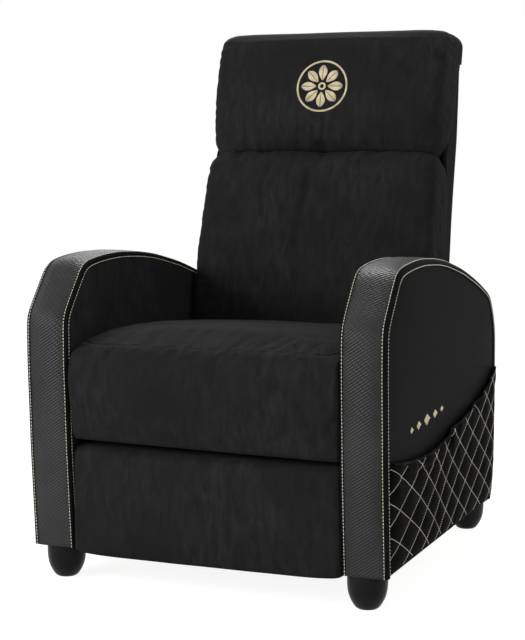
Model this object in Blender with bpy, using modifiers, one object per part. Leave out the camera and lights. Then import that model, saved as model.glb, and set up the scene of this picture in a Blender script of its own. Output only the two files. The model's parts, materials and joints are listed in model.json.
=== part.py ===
"""A push-back gaming recliner, upright with its footrest folded away.

Two upholstered arms stand on round feet and are bolted to steel base plates. A seat frame glides
forward between the plates, the back hinges on it and leans back as it glides, and a linkage under
the seat swings the footrest out.

Metres. +X is the viewer's right, the chair faces -Y, +Z is up, and the floor is z = 0. Outlines
are written as (depth, height): depth runs back from the front plane of the arms.
"""

import math

import bmesh
import bpy
from mathutils import Matrix
from mathutils.geometry import convex_hull_2d

OBJECT_NAME = "gaming_recliner"

# The chair as a whole
CHAIR_WIDTH = 0.700
ARM_WIDTH = 0.082
ARM_DEPTH = 0.747
ARM_HEIGHT = 0.608
FRONT_Y = -0.380
GAP = 0.0003
OVERRUN = 0.020
WELD_DISTANCE = 0.00003
SHARP_ANGLE = math.radians(35)
HUMP_POWER = 0.6
QUARTER_TURN = math.radians(90)
SIDES = (("left", 1), ("right", -1))  # the sitter's left and right
ARM_OUTER = CHAIR_WIDTH / 2
ARM_INNER = ARM_OUTER - ARM_WIDTH

# Feet
FOOT_HEIGHT = 0.063
FOOT_RADIUS = 0.0365
FOOT_INSET = 0.038
FOOT_INWARD = 0.006
FOOT_STEPS = 24
FOOT_PROFILE_SHARES = (
    (1.000, 1.00),
    (1.005, 0.80),
    (0.985, 0.56),
    (0.840, 0.28),
    (0.700, 0.14),
    (0.570, 0.04),
    (0.480, 0.00),
)

# Arms
ARM_BOTTOM = FOOT_HEIGHT + GAP
COVER_THICKNESS = 0.008
COVER_ROUNDING = 0.004
BOARD_THICKNESS = 0.009
STRIP_THICKNESS = 0.012
POST_WIDTH = 0.032
FRONT_POST_DEPTH = 0.018
FRONT_POST_DROP = 0.108
FRONT_POST_TOP = ARM_HEIGHT - FRONT_POST_DROP
REAR_POST_INSET = 0.089
REAR_POST_DEPTH = ARM_DEPTH - REAR_POST_INSET
REAR_POST_DROP = 0.178
REAR_POST_TOP = ARM_HEIGHT - REAR_POST_DROP
BOTTOM_RAIL_HEIGHT = 0.037
BOTTOM_RAIL_FRONT = 0.020
BOTTOM_RAIL_REAR = REAR_POST_DEPTH + POST_WIDTH
ARM_OUTLINE_SHARES = (
    (0.005, 0.000),
    (-0.013, 0.343),
    (-0.023, 0.655),
    (-0.023, 0.805),
    (0.010, 0.862),
    (0.040, 0.912),
    (0.071, 0.965),
    (0.091, 0.980),
    (0.150, 0.991),
    (0.217, 0.998),
    (0.287, 1.000),
    (0.389, 0.993),
    (0.474, 0.980),
    (0.545, 0.963),
    (0.644, 0.936),
    (0.722, 0.908),
    (0.811, 0.873),
    (0.876, 0.842),
    (0.924, 0.818),
    (0.947, 0.785),
    (0.974, 0.730),
    (0.991, 0.679),
    (0.995, 0.626),
    (1.000, 0.435),
    (0.998, 0.200),
    (0.991, 0.100),
    (0.978, 0.030),
    (0.961, 0.000),
)

# Side pockets
POCKET_STANDOFF = 0.009
POCKET_WALL = 0.003
POCKET_SEAM = 0.010
POCKET_TOP_SHARES = (
    (0.022, 0.371),
    (0.077, 0.361),
    (0.158, 0.348),
    (0.241, 0.341),
    (0.328, 0.339),
    (0.418, 0.350),
    (0.474, 0.362),
    (0.506, 0.384),
    (0.560, 0.385),
    (0.660, 0.405),
    (0.763, 0.431),
    (0.816, 0.447),
    (0.871, 0.468),
    (0.927, 0.493),
    (0.960, 0.523),
    (0.977, 0.540),
)
POCKET_REAR_SHARES = (
    (0.995, 0.435),
    (0.993, 0.150),
    (0.979, 0.073),
    (0.957, 0.018),
    (0.934, 0.005),
)
POCKET_FRONT_SHARES = ((0.024, 0.010),)

# Steel plates, one outside the other, from the arms inwards
PLATE = 0.003
LAYER_GAP = 0.003
SEAT_LAYER_GAP = 0.006
HOLE_STEPS = 12
BASE_PLATE_OUT = ARM_INNER - GAP
BASE_PLATE_IN = BASE_PLATE_OUT - PLATE
SEAT_PLATE_OUT = BASE_PLATE_IN - SEAT_LAYER_GAP
SEAT_PLATE_IN = SEAT_PLATE_OUT - PLATE
ROD_OUT = SEAT_PLATE_IN - LAYER_GAP
ROD_IN = ROD_OUT - PLATE
LINK_OUT = ROD_IN - LAYER_GAP
LINK_IN = LINK_OUT - PLATE
CARRIER_OUT = LINK_IN - LAYER_GAP
CARRIER_IN = CARRIER_OUT - PLATE
BRACKET_OUT = CARRIER_IN - LAYER_GAP
BRACKET_IN = BRACKET_OUT - PLATE

# Base plates and cross tubes
BASE_FRONT = 0.085
BASE_REAR_INSET = 0.032
BASE_REAR = ARM_DEPTH - BASE_REAR_INSET
BASE_BOTTOM = 0.090
BASE_TOP = 0.255
UPRIGHT_HALF_WIDTH = 0.020
UPRIGHT_FLARE = 0.025
UPRIGHT_FLARE_HEIGHT = 0.040
UPRIGHT_MARGIN = 0.016
TUBE_SIDE = 0.025
TUBE_WALL = 0.0015
TUBE_HEIGHT = 0.120
TUBE_FRONT_DEPTH = 0.360
TUBE_REAR_INSET = 0.087
TUBE_DEPTHS = (TUBE_FRONT_DEPTH, ARM_DEPTH - TUBE_REAR_INSET)
BOLT_FRONT_DEPTH = 0.200
BOLT_REAR_INSET = 0.127
BOLT_DEPTHS = (BOLT_FRONT_DEPTH, ARM_DEPTH - BOLT_REAR_INSET)
BOLT_HEIGHT = 0.155
BOLT_RADIUS = 0.004
BOLT_HEAD_RADIUS = 0.0075
BOLT_HEAD = 0.0045
NUT_HEIGHT = 0.006

# Seat frame, its glide and its rollers
GLIDE_TRAVEL = 0.050
GLIDE_RISE_ANGLE = math.radians(4)
ROLLER_DEPTHS = (0.300, 0.500)
ROLLER_HEIGHT = 0.225
ROLLER_RADIUS = 0.007
ROLLER_CLEARANCE = 0.0006
BOSS_RADIUS = 0.009
SEAT_PLATE_FRONT = 0.062
SEAT_PLATE_TOP = 0.303
SEAT_PLATE_MARGIN = 0.017
SEAT_RISER = 0.050
SEAT_RAIL_HEIGHT = 0.030
SEAT_RAIL_WIDTH = 0.030
SEAT_RAIL_DEPTHS = (0.062, 0.458)
SPRING_WIRE = 0.0035
SPRING_SWING = 0.024
SPRING_ARCH = 0.012
SPRING_WAVES = 6
SPRING_WAVE_POINTS = 7
SPRING_PLACE_SHARES = (-0.57, 0.0, 0.57)

# Seat cushion
SEAT_SIDE_CLEARANCE = 0.002
SEAT_HALF_WIDTH = ARM_INNER - SEAT_SIDE_CLEARANCE
SEAT_FRONT = -0.010
SEAT_REAR = 0.490
SEAT_SKIRT = 0.268
SEAT_PLATFORM = SEAT_PLATE_TOP + GAP
SEAT_HEIGHT = 0.160
SEAT_CROWN = 0.013
SEAT_BULGE = 0.024
SEAT_DRAWN_IN = 0.004
SEAT_EDGE = 0.006
SEAT_SKIRT_SHARE = 0.085
SEAT_ACROSS_SHARES = (-1.0, -0.94, -0.6, -0.2, 0.2, 0.6, 0.94, 1.0)
SEAT_ALONG_SHARES = (0.0, 0.03, 0.07, 0.095, 0.115, 0.35, 0.65, 0.97, 1.0)
SEAT_TOP_SHARES = (0.79, 0.867, 0.917, 0.942, 0.961, 1.0, 0.961, 0.886, 0.867)
SEAT_UP_SHARES = (0.0, 0.08, 0.5, 0.92, 1.0)

# Back, in its own leaning frame: rise along it, and through it from its front face
BACK_LEAN = math.radians(15)
BACK_FOOT_DEPTH = 0.500
BACK_FOOT_HEIGHT = 0.450
BACK_SIDE_CLEARANCE = 0.008
BACK_HALF_WIDTH = ARM_INNER - BACK_SIDE_CLEARANCE
BACK_TOP_RISE = 0.592
BACK_BOTTOM_RISE = -0.140
SHELL_WALL = 0.005
SHELL_REAR_LOW = 0.200
SHELL_REAR_HIGH = 0.118
STILE_WIDTH = 0.030
STILE_FRONT = 0.080
STILE_REAR = 0.108
STILE_BOTTOM_RISE = -0.080
STILE_TOP_DROP = 0.017
STILE_TOP_RISE = BACK_TOP_RISE - STILE_TOP_DROP
SHELL_FRONT = STILE_FRONT + GAP
BACK_RAIL_HEIGHT = 0.040
BACK_BOTTOM_RAIL_RISE = -0.076
NOTCH_RISE = 0.020
NOTCH_REAR = 0.140
SHELL_PLATE_CLEARANCE = 0.0032
SHELL_LOW_HALF_WIDTH = SEAT_PLATE_IN - SHELL_PLATE_CLEARANCE
SHELL_WAIST_SHARE = 0.15
SHELL_SHOULDER_SHARE = 0.93
SHELL_ACROSS_SHARES = (-1.0, -0.95, -0.3, 0.3, 0.95, 1.0)
SHELL_ALONG_SHARES = (0.0, 0.03, 0.13, 0.175, 0.26, 0.60, 0.96, 1.0)
SHELL_THROUGH_SHARES = (0.0, 0.4, 0.85, 1.0)
CUSHION_HALF_WIDTH = BASE_PLATE_IN - GAP
CUSHION_REAR_HALF_WIDTH = ROD_IN - LAYER_GAP
CUSHION_SEAM = 0.002
LOWER_BOTTOM_RISE = -0.036
LOWER_TOP_RISE = 0.373
LOWER_CROWN = 0.014
LOWER_CHANNEL = 0.008
HEAD_CAP = 0.0415
HEAD_STEP_LIFT = 0.0065
HEAD_BOTTOM_RISE = LOWER_TOP_RISE + CUSHION_SEAM
HEAD_TOP_RISE = BACK_TOP_RISE + HEAD_CAP
HEAD_STEP_RISE = BACK_TOP_RISE + HEAD_STEP_LIFT
HEAD_STEP_SPREAD = (-0.0051, -0.0016, 0.0015)
HEAD_CROWN = 0.026
HEAD_OVERHANG = 0.132
CUSHION_SEAM_DROP = 0.012
LOWER_TUCK = 0.024
LOWER_ACROSS_SHARES = (-1.0, -0.93, -0.6, -0.3, -0.06, 0.0, 0.06, 0.3, 0.6, 0.93, 1.0)
LOWER_ALONG_SHARES = (0.0, 0.06, 0.2, 0.42, 0.5, 0.65, 0.8, 0.94, 1.0)
LOWER_WIDTH_SHARES = (0.92, 0.95, 1.0, 1.0, 1.0, 0.985, 0.972, 0.96, 0.89)
LOWER_WAIST_SHARE = 0.45
CUSHION_WRAP_SHARE = 0.3
HEAD_ACROSS_SHARES = (-1.0, -0.94, -0.6, -0.2, 0.2, 0.6, 0.94, 1.0)
HEAD_LOW_SHARES = (0.0, 0.06, 0.35, 0.7)
HEAD_HIGH_SHARES = (0.95, 1.0)
HEAD_WIDTH_SHARES = (0.845, 0.885, 0.95, 0.965, 0.965, 0.965, 0.965, 0.945, 0.90)
CUSHION_THROUGH_SHARES = (0.0, 0.12, 0.38, 0.85, 1.0)

# Recline hinge, and the pin that makes the back lean as the seat glides
RECLINE_HINGE = (0.550, 0.335)
RECLINE_SHANK = 0.006
RECLINE_PIN_RADIUS = 0.006
RECLINE_ARM = 0.0653
RECLINE_ARM_ANGLE = math.radians(112.5)
RECLINE_CLEARANCE = 0.0012
RECLINE_TRAVEL = 0.007
BRACKET_RISE = 0.120
BRACKET_EYE_RADIUS = 0.015
BRACKET_END_RADIUS = 0.012

# Footrest linkage: pivots on the seat plate, and links that form two parallelograms
DRIVE_PIVOT = (0.165, 0.275)
DRIVE_LENGTH = 0.210
DRIVE_ANGLE = math.radians(-79.4)
GUIDE_OFFSET = (0.090, -0.012)
FOOTREST_PIVOT = (0.075, 0.175)
CRANK_LENGTH = 0.042
CRANK_ANGLE = math.radians(72)
LINK_HALF_WIDTH = 0.008
LINK_EYE = 0.010
LINK_SHANK = 0.004
LINK_BOSS = 0.0065
ROD_HALF_WIDTH = 0.0065
ROD_SHANK = 0.0035
ROD_BOSS = 0.005
HEAD_THICKNESS = 0.0018
OPEN_CLEARANCE = 0.0008
TORQUE_TUBE_RADIUS = 0.008
TORQUE_TUBE_STEPS = 16

# Footrest
FOOTREST_SIDE_CLEARANCE = 0.002
FOOTREST_HALF_WIDTH = ARM_INNER - FOOTREST_SIDE_CLEARANCE
FOOTREST_BOTTOM = 0.050
FOOTREST_TOP = 0.244
FOOTREST_BOARD_FRONT = 0.035
FOOTREST_BOARD_REAR = 0.050
FOOTREST_BOARD_MARGIN = 0.008
FOOTREST_FRONT = -0.003
FOOTREST_CROWN = 0.009
FOOTREST_EDGE = 0.008
FOOTREST_ACROSS_SHARES = (-1.0, -0.95, -0.6, 0.0, 0.6, 0.95, 1.0)
FOOTREST_UP_SHARES = (0.0, 0.08, 0.35, 0.65, 0.92, 1.0)
FOOTREST_THROUGH_SHARES = (0.0, 0.25, 0.8, 1.0)
FLANGE_WIDTH = 0.028
FLANGE_BOTTOM = 0.100
FLANGE_CORNER = 0.001

# Finishes: colour, roughness and metallic value
SMOOTH_VINYL = ((0.020, 0.020, 0.022), 0.45, 0.0)
CARBON_VINYL = ((0.085, 0.087, 0.092), 0.38, 0.0)
NAP_FABRIC = ((0.024, 0.024, 0.026), 0.92, 0.0)
QUILTED_VINYL = ((0.026, 0.024, 0.022), 0.50, 0.0)
BLACK_PLASTIC = ((0.015, 0.015, 0.016), 0.35, 0.0)
PINE = ((0.600, 0.430, 0.250), 0.70, 0.0)
BLACK_STEEL = ((0.035, 0.035, 0.038), 0.45, 0.6)
ZINC_STEEL = ((0.550, 0.560, 0.580), 0.35, 1.0)


def offset_by(point, length, angle):
    """The point at this length and angle from another, with depth as 0 degrees and up as 90."""
    return (point[0] + length * math.cos(angle), point[1] + length * math.sin(angle))


def shifted(point, step):
    return (point[0] + step[0], point[1] + step[1])


def back_point(rise, through):
    """The (depth, height) of a place given in the leaning frame of the back."""
    depth = BACK_FOOT_DEPTH + rise * math.sin(BACK_LEAN) + through * math.cos(BACK_LEAN)
    height = BACK_FOOT_HEIGHT + rise * math.cos(BACK_LEAN) - through * math.sin(BACK_LEAN)
    return (depth, height)


GUIDE_PIVOT = shifted(DRIVE_PIVOT, GUIDE_OFFSET)
DRIVE_END = offset_by(DRIVE_PIVOT, DRIVE_LENGTH, DRIVE_ANGLE)
GUIDE_END = shifted(DRIVE_END, GUIDE_OFFSET)
CRANK_PIN = offset_by(DRIVE_END, CRANK_LENGTH, CRANK_ANGLE)
ROD_PIN = offset_by(FOOTREST_PIVOT, CRANK_LENGTH, CRANK_ANGLE)
RECLINE_PIN = offset_by(RECLINE_HINGE, RECLINE_ARM, RECLINE_ARM_ANGLE)


def clear_scene():
    for old in list(bpy.data.objects):
        bpy.data.objects.remove(old)


def new_collection(name):
    collection = bpy.data.collections.new(name)
    bpy.context.scene.collection.children.link(collection)
    return collection


clear_scene()
PARTS = new_collection(OBJECT_NAME)
CUTTERS = new_collection("cutters")


def give_finish(piece, finish):
    colour, roughness, metallic = finish
    surface = bpy.data.materials.new(piece.name + "_finish")
    surface.use_nodes = True
    shader = surface.node_tree.nodes["Principled BSDF"]
    shader.inputs["Base Color"].default_value = (*colour, 1)
    shader.inputs["Roughness"].default_value = roughness
    shader.inputs["Metallic"].default_value = metallic
    piece.data.materials.append(surface)


def add_piece(name, mesh, finish, smooth=False):
    piece = bpy.data.objects.new(name, mesh)
    PARTS.objects.link(piece)
    give_finish(piece, finish)
    if smooth:
        mesh.shade_smooth()
        mesh.set_sharp_from_angle(angle=SHARP_ANGLE)
    return piece


def add_helper(name, mesh):
    helper = bpy.data.objects.new(name, mesh)
    CUTTERS.objects.link(helper)
    helper.hide_render = True
    helper.display_type = "WIRE"
    return helper


def combine(piece, helper, operation):
    step = piece.modifiers.new(helper.name, "BOOLEAN")
    step.operation = operation
    step.solver = "EXACT"
    step.object = helper


def mesh_of_curve(curve_data, name):
    """The curve as a closed mesh: its caps are welded to its sides."""
    guide = bpy.data.objects.new(name + "_curve", curve_data)
    CUTTERS.objects.link(guide)
    guide.hide_render = True
    graph = bpy.context.evaluated_depsgraph_get()
    mesh = bpy.data.meshes.new_from_object(guide.evaluated_get(graph))
    mesh.name = name
    bpy.data.objects.remove(guide)
    shape = bmesh.new()
    shape.from_mesh(mesh)
    bmesh.ops.remove_doubles(shape, verts=shape.verts, dist=WELD_DISTANCE)
    bmesh.ops.recalc_face_normals(shape, faces=shape.faces)
    shape.to_mesh(mesh)
    shape.free()
    return mesh


def extruded_mesh(name, outlines, thickness, rounding=0.0):
    """Flat outlines, the first with the others as its holes, given a thickness."""
    curve = bpy.data.curves.new(name, "CURVE")
    curve.dimensions = "2D"
    curve.fill_mode = "BOTH"
    curve.extrude = thickness / 2 - rounding
    curve.bevel_depth = rounding
    curve.bevel_resolution = 1
    curve.offset = -rounding
    for outline in outlines:
        spline = curve.splines.new("POLY")
        spline.points.add(len(outline) - 1)
        for point, (depth, height) in zip(spline.points, outline):
            point.co = (depth, height, 0, 1)
        spline.use_cyclic_u = True
    return mesh_of_curve(curve, name)


def place_upright(piece, x_low, x_high):
    """Stands an outline of depth and height on edge, between two places across the chair."""
    piece.location = ((x_low + x_high) / 2, FRONT_Y, 0)
    piece.rotation_euler = (QUARTER_TURN, 0, QUARTER_TURN)


def side_plate(name, outlines, x_near, x_far, finish, rounding=0.0):
    """A piece cut to an outline seen from the side of the chair."""
    thickness = abs(x_far - x_near)
    mesh = extruded_mesh(name, outlines, thickness, rounding)
    piece = add_piece(name, mesh, finish)
    place_upright(piece, x_near, x_far)
    return piece


def side_cutter(name, outline, x_near, x_far):
    helper = add_helper(name, extruded_mesh(name, [outline], abs(x_far - x_near)))
    place_upright(helper, x_near, x_far)
    return helper


def rectangle(depth_low, depth_high, height_low, height_high):
    return [
        (depth_low, height_low),
        (depth_high, height_low),
        (depth_high, height_high),
        (depth_low, height_high),
    ]


def back_rectangle(rise_low, rise_high, through_low, through_high):
    corners = rectangle(rise_low, rise_high, through_low, through_high)
    return [back_point(rise, through) for rise, through in corners]


def circle(centre, radius, steps=HOLE_STEPS):
    return [offset_by(centre, radius, math.tau * step / steps) for step in range(steps)]


def hole(centre, shank, clearance=GAP):
    """A hole whose flats stay this far from a shank that turns in it."""
    return circle(centre, (shank + clearance) / math.cos(math.pi / HOLE_STEPS))


def slot(start, end, radius):
    """A slot with round ends, from the centre of one end to the centre of the other."""
    along = math.atan2(end[1] - start[1], end[0] - start[0])
    half = HOLE_STEPS // 2
    turns = [math.pi * step / half for step in range(half + 1)]
    first = [offset_by(end, radius, along - QUARTER_TURN + turn) for turn in turns]
    second = [offset_by(start, radius, along + QUARTER_TURN + turn) for turn in turns]
    return first + second


def wrapped(circles):
    """The taut outline round a set of circles, each a centre and a radius."""
    points = []
    for centre, radius in circles:
        points += circle(centre, radius)
    return [points[index] for index in convex_hull_2d(points)]


def strap(centres, half_width):
    """The outline of a bar of even width that bends at its middle centres and ends round."""
    there, back = [], []
    for before, here, after in zip(centres, centres[1:], centres[2:]):
        entry = math.atan2(here[1] - before[1], here[0] - before[0])
        leave = math.atan2(after[1] - here[1], after[0] - here[0])
        middle = (entry + leave) / 2
        reach = half_width / math.cos((leave - entry) / 2)
        there.append(offset_by(here, reach, middle - QUARTER_TURN))
        back.append(offset_by(here, reach, middle + QUARTER_TURN))
    half = HOLE_STEPS // 2
    turns = [math.pi * step / half for step in range(half + 1)]
    first, second = centres[:2], centres[-2:]
    start = math.atan2(first[1][1] - first[0][1], first[1][0] - first[0][0])
    finish = math.atan2(second[1][1] - second[0][1], second[1][0] - second[0][0])
    tail = [offset_by(centres[0], half_width, start + QUARTER_TURN + turn) for turn in turns]
    nose = [offset_by(centres[-1], half_width, finish - QUARTER_TURN + turn) for turn in turns]
    return tail + there + nose + back[::-1]


def inset(outline, distance):
    """The arm's outline moved inwards, its two ends sliding along the bottom line."""
    normals = []
    for (depth, height), (next_depth, next_height) in zip(outline, outline[1:]):
        length = math.hypot(next_depth - depth, next_height - height)
        normals.append(((next_height - height) / length, (depth - next_depth) / length))
    moved = [(outline[0][0] + distance / normals[0][0], outline[0][1])]
    for point, before, after in zip(outline[1:], normals, normals[1:]):
        scale = distance / (1 + before[0] * after[0] + before[1] * after[1])
        step = ((before[0] + after[0]) * scale, (before[1] + after[1]) * scale)
        moved.append(shifted(point, step))
    moved.append((outline[-1][0] + distance / normals[-1][0], outline[-1][1]))
    return moved


def turned_mesh(name, profile):
    """A profile of (radius, place along the axis), listed from the far end to the near end."""
    mesh = bpy.data.meshes.new(name)
    points = [(radius, 0, place) for radius, place in profile]
    mesh.from_pydata(points, [(index, index + 1) for index in range(len(points) - 1)], [])
    return mesh


def spin(piece, steps):
    turn = piece.modifiers.new("turned", "SCREW")
    turn.axis = "Z"
    turn.angle = math.tau
    turn.steps = steps
    turn.render_steps = steps
    turn.use_merge_vertices = True
    turn.merge_threshold = WELD_DISTANCE
    turn.use_smooth_shade = True


def stepped_mesh(name, start, sections):
    """A stepped pin along its axis: sections of (radius, place where the section ends)."""
    profile = [(0, 0)]
    reached = 0
    for radius, end in sections:
        profile += [(radius, reached), (radius, abs(end - start))]
        reached = abs(end - start)
    profile.append((0, reached))
    return turned_mesh(name, profile[::-1])


def place_across(piece, centre, side, start, end):
    """Lays a turned piece across the chair, its axis running from one place towards another."""
    towards = side if end > start else -side
    piece.location = (side * start, FRONT_Y + centre[0], centre[1])
    piece.rotation_euler = (0, towards * QUARTER_TURN, 0)


def rivet(piece, name, centre, side, start, sections):
    """Fixes a stepped pin to a plate, from inside the plate's thickness."""
    helper = add_helper(name, stepped_mesh(name, start, sections))
    spin(helper, HOLE_STEPS)
    place_across(helper, centre, side, start, sections[-1][1])
    combine(piece, helper, "UNION")


def soft_cage(table, place):
    """A block cut into a coarse cage by shares along three axes, then moved by a rule."""
    cage = bmesh.new()
    bmesh.ops.create_cube(cage, size=2)
    for axis, shares in enumerate(table):
        uncut = [edge for edge in cage.edges if abs(edge.verts[0].co[axis] - edge.verts[1].co[axis]) > 1]
        bmesh.ops.subdivide_edges(cage, edges=uncut, cuts=len(shares) - 2, use_grid_fill=True)
    spots = {}
    for vert in cage.verts:
        spots[vert] = [
            shares[round((vert.co[axis] + 1) / 2 * (len(shares) - 1))] for axis, shares in enumerate(table)
        ]
    for vert, spot in spots.items():
        vert.co = place(*spot)
    if cage.calc_volume(signed=True) < 0:
        bmesh.ops.reverse_faces(cage, faces=cage.faces)
    return cage, spots


def mesh_of_cage(cage, name):
    mesh = bpy.data.meshes.new(name)
    cage.to_mesh(mesh)
    cage.free()
    mesh.shade_smooth()
    return mesh


def soften(piece, levels=1):
    step = piece.modifiers.new("soft", "SUBSURF")
    step.levels = levels
    step.render_levels = levels


def hump(share):
    """0 at both ends and 1 in the middle, as a filled cushion rises."""
    return math.sin(math.pi * share) ** HUMP_POWER if 0 < share < 1 else 0.0


def mix(low, high, share):
    return low + (high - low) * share


def joint_axis(name, place, parent=None):
    axis = bpy.data.objects.new(name, None)
    PARTS.objects.link(axis)
    axis.location = (0, FRONT_Y + place[0], place[1])
    if parent:
        carry([axis], parent)
    return axis


def carry(pieces, axis):
    """Hangs pieces on a joint's axis where they already stand."""
    for piece in pieces:
        piece.parent = axis
        piece.matrix_parent_inverse = Matrix.Translation(axis.location).inverted()


def share_points(shares):
    height = ARM_HEIGHT - ARM_BOTTOM
    return [(depth * ARM_DEPTH, ARM_BOTTOM + rise * height) for depth, rise in shares]


def make_foot(name, side, depth):
    profile = [(0, FOOT_HEIGHT)]
    profile += [(radius * FOOT_RADIUS, height * FOOT_HEIGHT) for radius, height in FOOT_PROFILE_SHARES]
    profile.append((0, 0))
    foot = add_piece(name, turned_mesh(name, profile), BLACK_PLASTIC)
    spin(foot, FOOT_STEPS)
    foot.location = (side * (ARM_INNER + ARM_WIDTH / 2 - FOOT_INWARD), FRONT_Y + depth, 0)


def bolt_centres():
    return [(depth, BOLT_HEIGHT) for depth in BOLT_DEPTHS]


def make_arm(label, side):
    """One arm: frame, side boards, padded covers and the strip round its front, top and rear."""
    outline = share_points(ARM_OUTLINE_SHARES)
    board_outline = inset(outline, STRIP_THICKNESS + GAP)
    bolt_holes = [hole(centre, BOLT_RADIUS) for centre in bolt_centres()]
    inner_cover = ARM_INNER + COVER_THICKNESS
    inner_board = inner_cover + GAP + BOARD_THICKNESS
    outer_cover = ARM_OUTER - COVER_THICKNESS
    outer_board = outer_cover - GAP - BOARD_THICKNESS
    side_plate(
        f"{label}_arm_inner_cover",
        [outline] + bolt_holes,
        side * ARM_INNER,
        side * inner_cover,
        NAP_FABRIC,
    )
    side_plate(
        f"{label}_arm_inner_board",
        [board_outline] + bolt_holes,
        side * (inner_cover + GAP),
        side * inner_board,
        PINE,
    )
    side_plate(
        f"{label}_arm_outer_board",
        [board_outline],
        side * outer_board,
        side * (outer_cover - GAP),
        PINE,
    )
    side_plate(
        f"{label}_arm_outer_cover",
        [outline],
        side * outer_cover,
        side * ARM_OUTER,
        SMOOTH_VINYL,
        COVER_ROUNDING,
    )
    side_plate(
        f"{label}_arm_strip",
        [outline + inset(outline, STRIP_THICKNESS)[::-1]],
        side * (inner_cover + GAP),
        side * (outer_cover - GAP),
        CARBON_VINYL,
    )
    rail_top = ARM_BOTTOM + BOTTOM_RAIL_HEIGHT
    members = (
        ("bottom_rail", BOTTOM_RAIL_FRONT, BOTTOM_RAIL_REAR, ARM_BOTTOM, rail_top),
        ("front_post", FRONT_POST_DEPTH, FRONT_POST_DEPTH + POST_WIDTH, rail_top + GAP, FRONT_POST_TOP),
        ("rear_post", REAR_POST_DEPTH, REAR_POST_DEPTH + POST_WIDTH, rail_top + GAP, REAR_POST_TOP),
    )
    for member, *limits in members:
        side_plate(
            f"{label}_arm_{member}",
            [rectangle(*limits)],
            side * (inner_board + GAP),
            side * (outer_board - GAP),
            PINE,
        )
    make_pocket(label, side)
    make_foot(f"{label}_front_foot", side, FOOT_INSET)
    make_foot(f"{label}_rear_foot", side, ARM_DEPTH - FOOT_INSET)


def make_pocket(label, side):
    """A flat bag sewn to the arm along its front, bottom and rear, and open along its top."""
    top = share_points(POCKET_TOP_SHARES)
    seam = [top[-1]] + share_points(POCKET_REAR_SHARES + POCKET_FRONT_SHARES) + [top[0]]
    face = ARM_OUTER + GAP
    far = face + POCKET_STANDOFF
    pocket = side_plate(f"{label}_side_pocket", [seam + top[1:-1]], side * face, side * far, QUILTED_VINYL)
    mouth = [(depth, height + OVERRUN) for depth, height in top[1:-1]]
    hollow = side_cutter(
        f"{label}_pocket_hollow",
        inset(seam, POCKET_SEAM) + mouth,
        side * (face - OVERRUN),
        side * (far - POCKET_WALL),
    )
    combine(pocket, hollow, "DIFFERENCE")


def glided(point):
    """Where a point of the seat frame is once the seat has glided right forward."""
    return (
        point[0] - GLIDE_TRAVEL * math.cos(GLIDE_RISE_ANGLE),
        point[1] + GLIDE_TRAVEL * math.sin(GLIDE_RISE_ANGLE),
    )


def make_base(label, side):
    """The steel plate bolted to the arm, with the slots that guide the seat and the back."""
    pin_depth, pin_height = RECLINE_PIN
    upright_top = pin_height + RECLINE_TRAVEL + UPRIGHT_MARGIN
    foot_height = BASE_TOP + UPRIGHT_FLARE_HEIGHT
    outline = [
        (BASE_FRONT, BASE_BOTTOM),
        (BASE_FRONT, BASE_TOP),
        (pin_depth - UPRIGHT_HALF_WIDTH - UPRIGHT_FLARE, BASE_TOP),
        (pin_depth - UPRIGHT_HALF_WIDTH, foot_height),
        (pin_depth - UPRIGHT_HALF_WIDTH, upright_top),
        (pin_depth + UPRIGHT_HALF_WIDTH, upright_top),
        (pin_depth + UPRIGHT_HALF_WIDTH, foot_height),
        (pin_depth + UPRIGHT_HALF_WIDTH + UPRIGHT_FLARE, BASE_TOP),
        (BASE_REAR, BASE_TOP),
        (BASE_REAR, BASE_BOTTOM),
    ]
    facet = math.cos(math.pi / HOLE_STEPS)
    roller_slots = []
    for depth in ROLLER_DEPTHS:
        roller = (depth, ROLLER_HEIGHT)
        roller_slots.append(slot(roller, glided(roller), (ROLLER_RADIUS + ROLLER_CLEARANCE) / facet))
    pin_slot = slot(
        RECLINE_PIN,
        (pin_depth, pin_height + RECLINE_TRAVEL),
        (RECLINE_PIN_RADIUS + RECLINE_CLEARANCE) / facet,
    )
    bolt_holes = [hole(centre, BOLT_RADIUS) for centre in bolt_centres()]
    side_plate(
        f"{label}_base_plate",
        [outline, pin_slot] + roller_slots + bolt_holes,
        side * BASE_PLATE_IN,
        side * BASE_PLATE_OUT,
        BLACK_STEEL,
    )
    head_face = BASE_PLATE_IN - GAP
    head_top = head_face - BOLT_HEAD
    nut_face = ARM_INNER + COVER_THICKNESS + BOARD_THICKNESS + GAP + GAP
    sections = [
        (BOLT_HEAD_RADIUS, head_face),
        (BOLT_RADIUS, nut_face),
        (BOLT_HEAD_RADIUS, nut_face + NUT_HEIGHT),
    ]
    for place, centre in zip(("front", "rear"), bolt_centres()):
        name = f"{label}_{place}_arm_bolt"
        bolt = add_piece(name, stepped_mesh(name, head_top, sections), ZINC_STEEL)
        spin(bolt, HOLE_STEPS)
        place_across(bolt, centre, side, head_top, nut_face)


def make_cross_tubes():
    half = TUBE_SIDE / 2
    bore = half - TUBE_WALL
    reach = BASE_PLATE_IN - GAP
    for place, depth in zip(("front", "rear"), TUBE_DEPTHS):
        outer = rectangle(depth - half, depth + half, TUBE_HEIGHT - half, TUBE_HEIGHT + half)
        inner = rectangle(depth - bore, depth + bore, TUBE_HEIGHT - bore, TUBE_HEIGHT + bore)
        side_plate(f"{place}_cross_tube", [outer, inner], -reach, reach, BLACK_STEEL)


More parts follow.
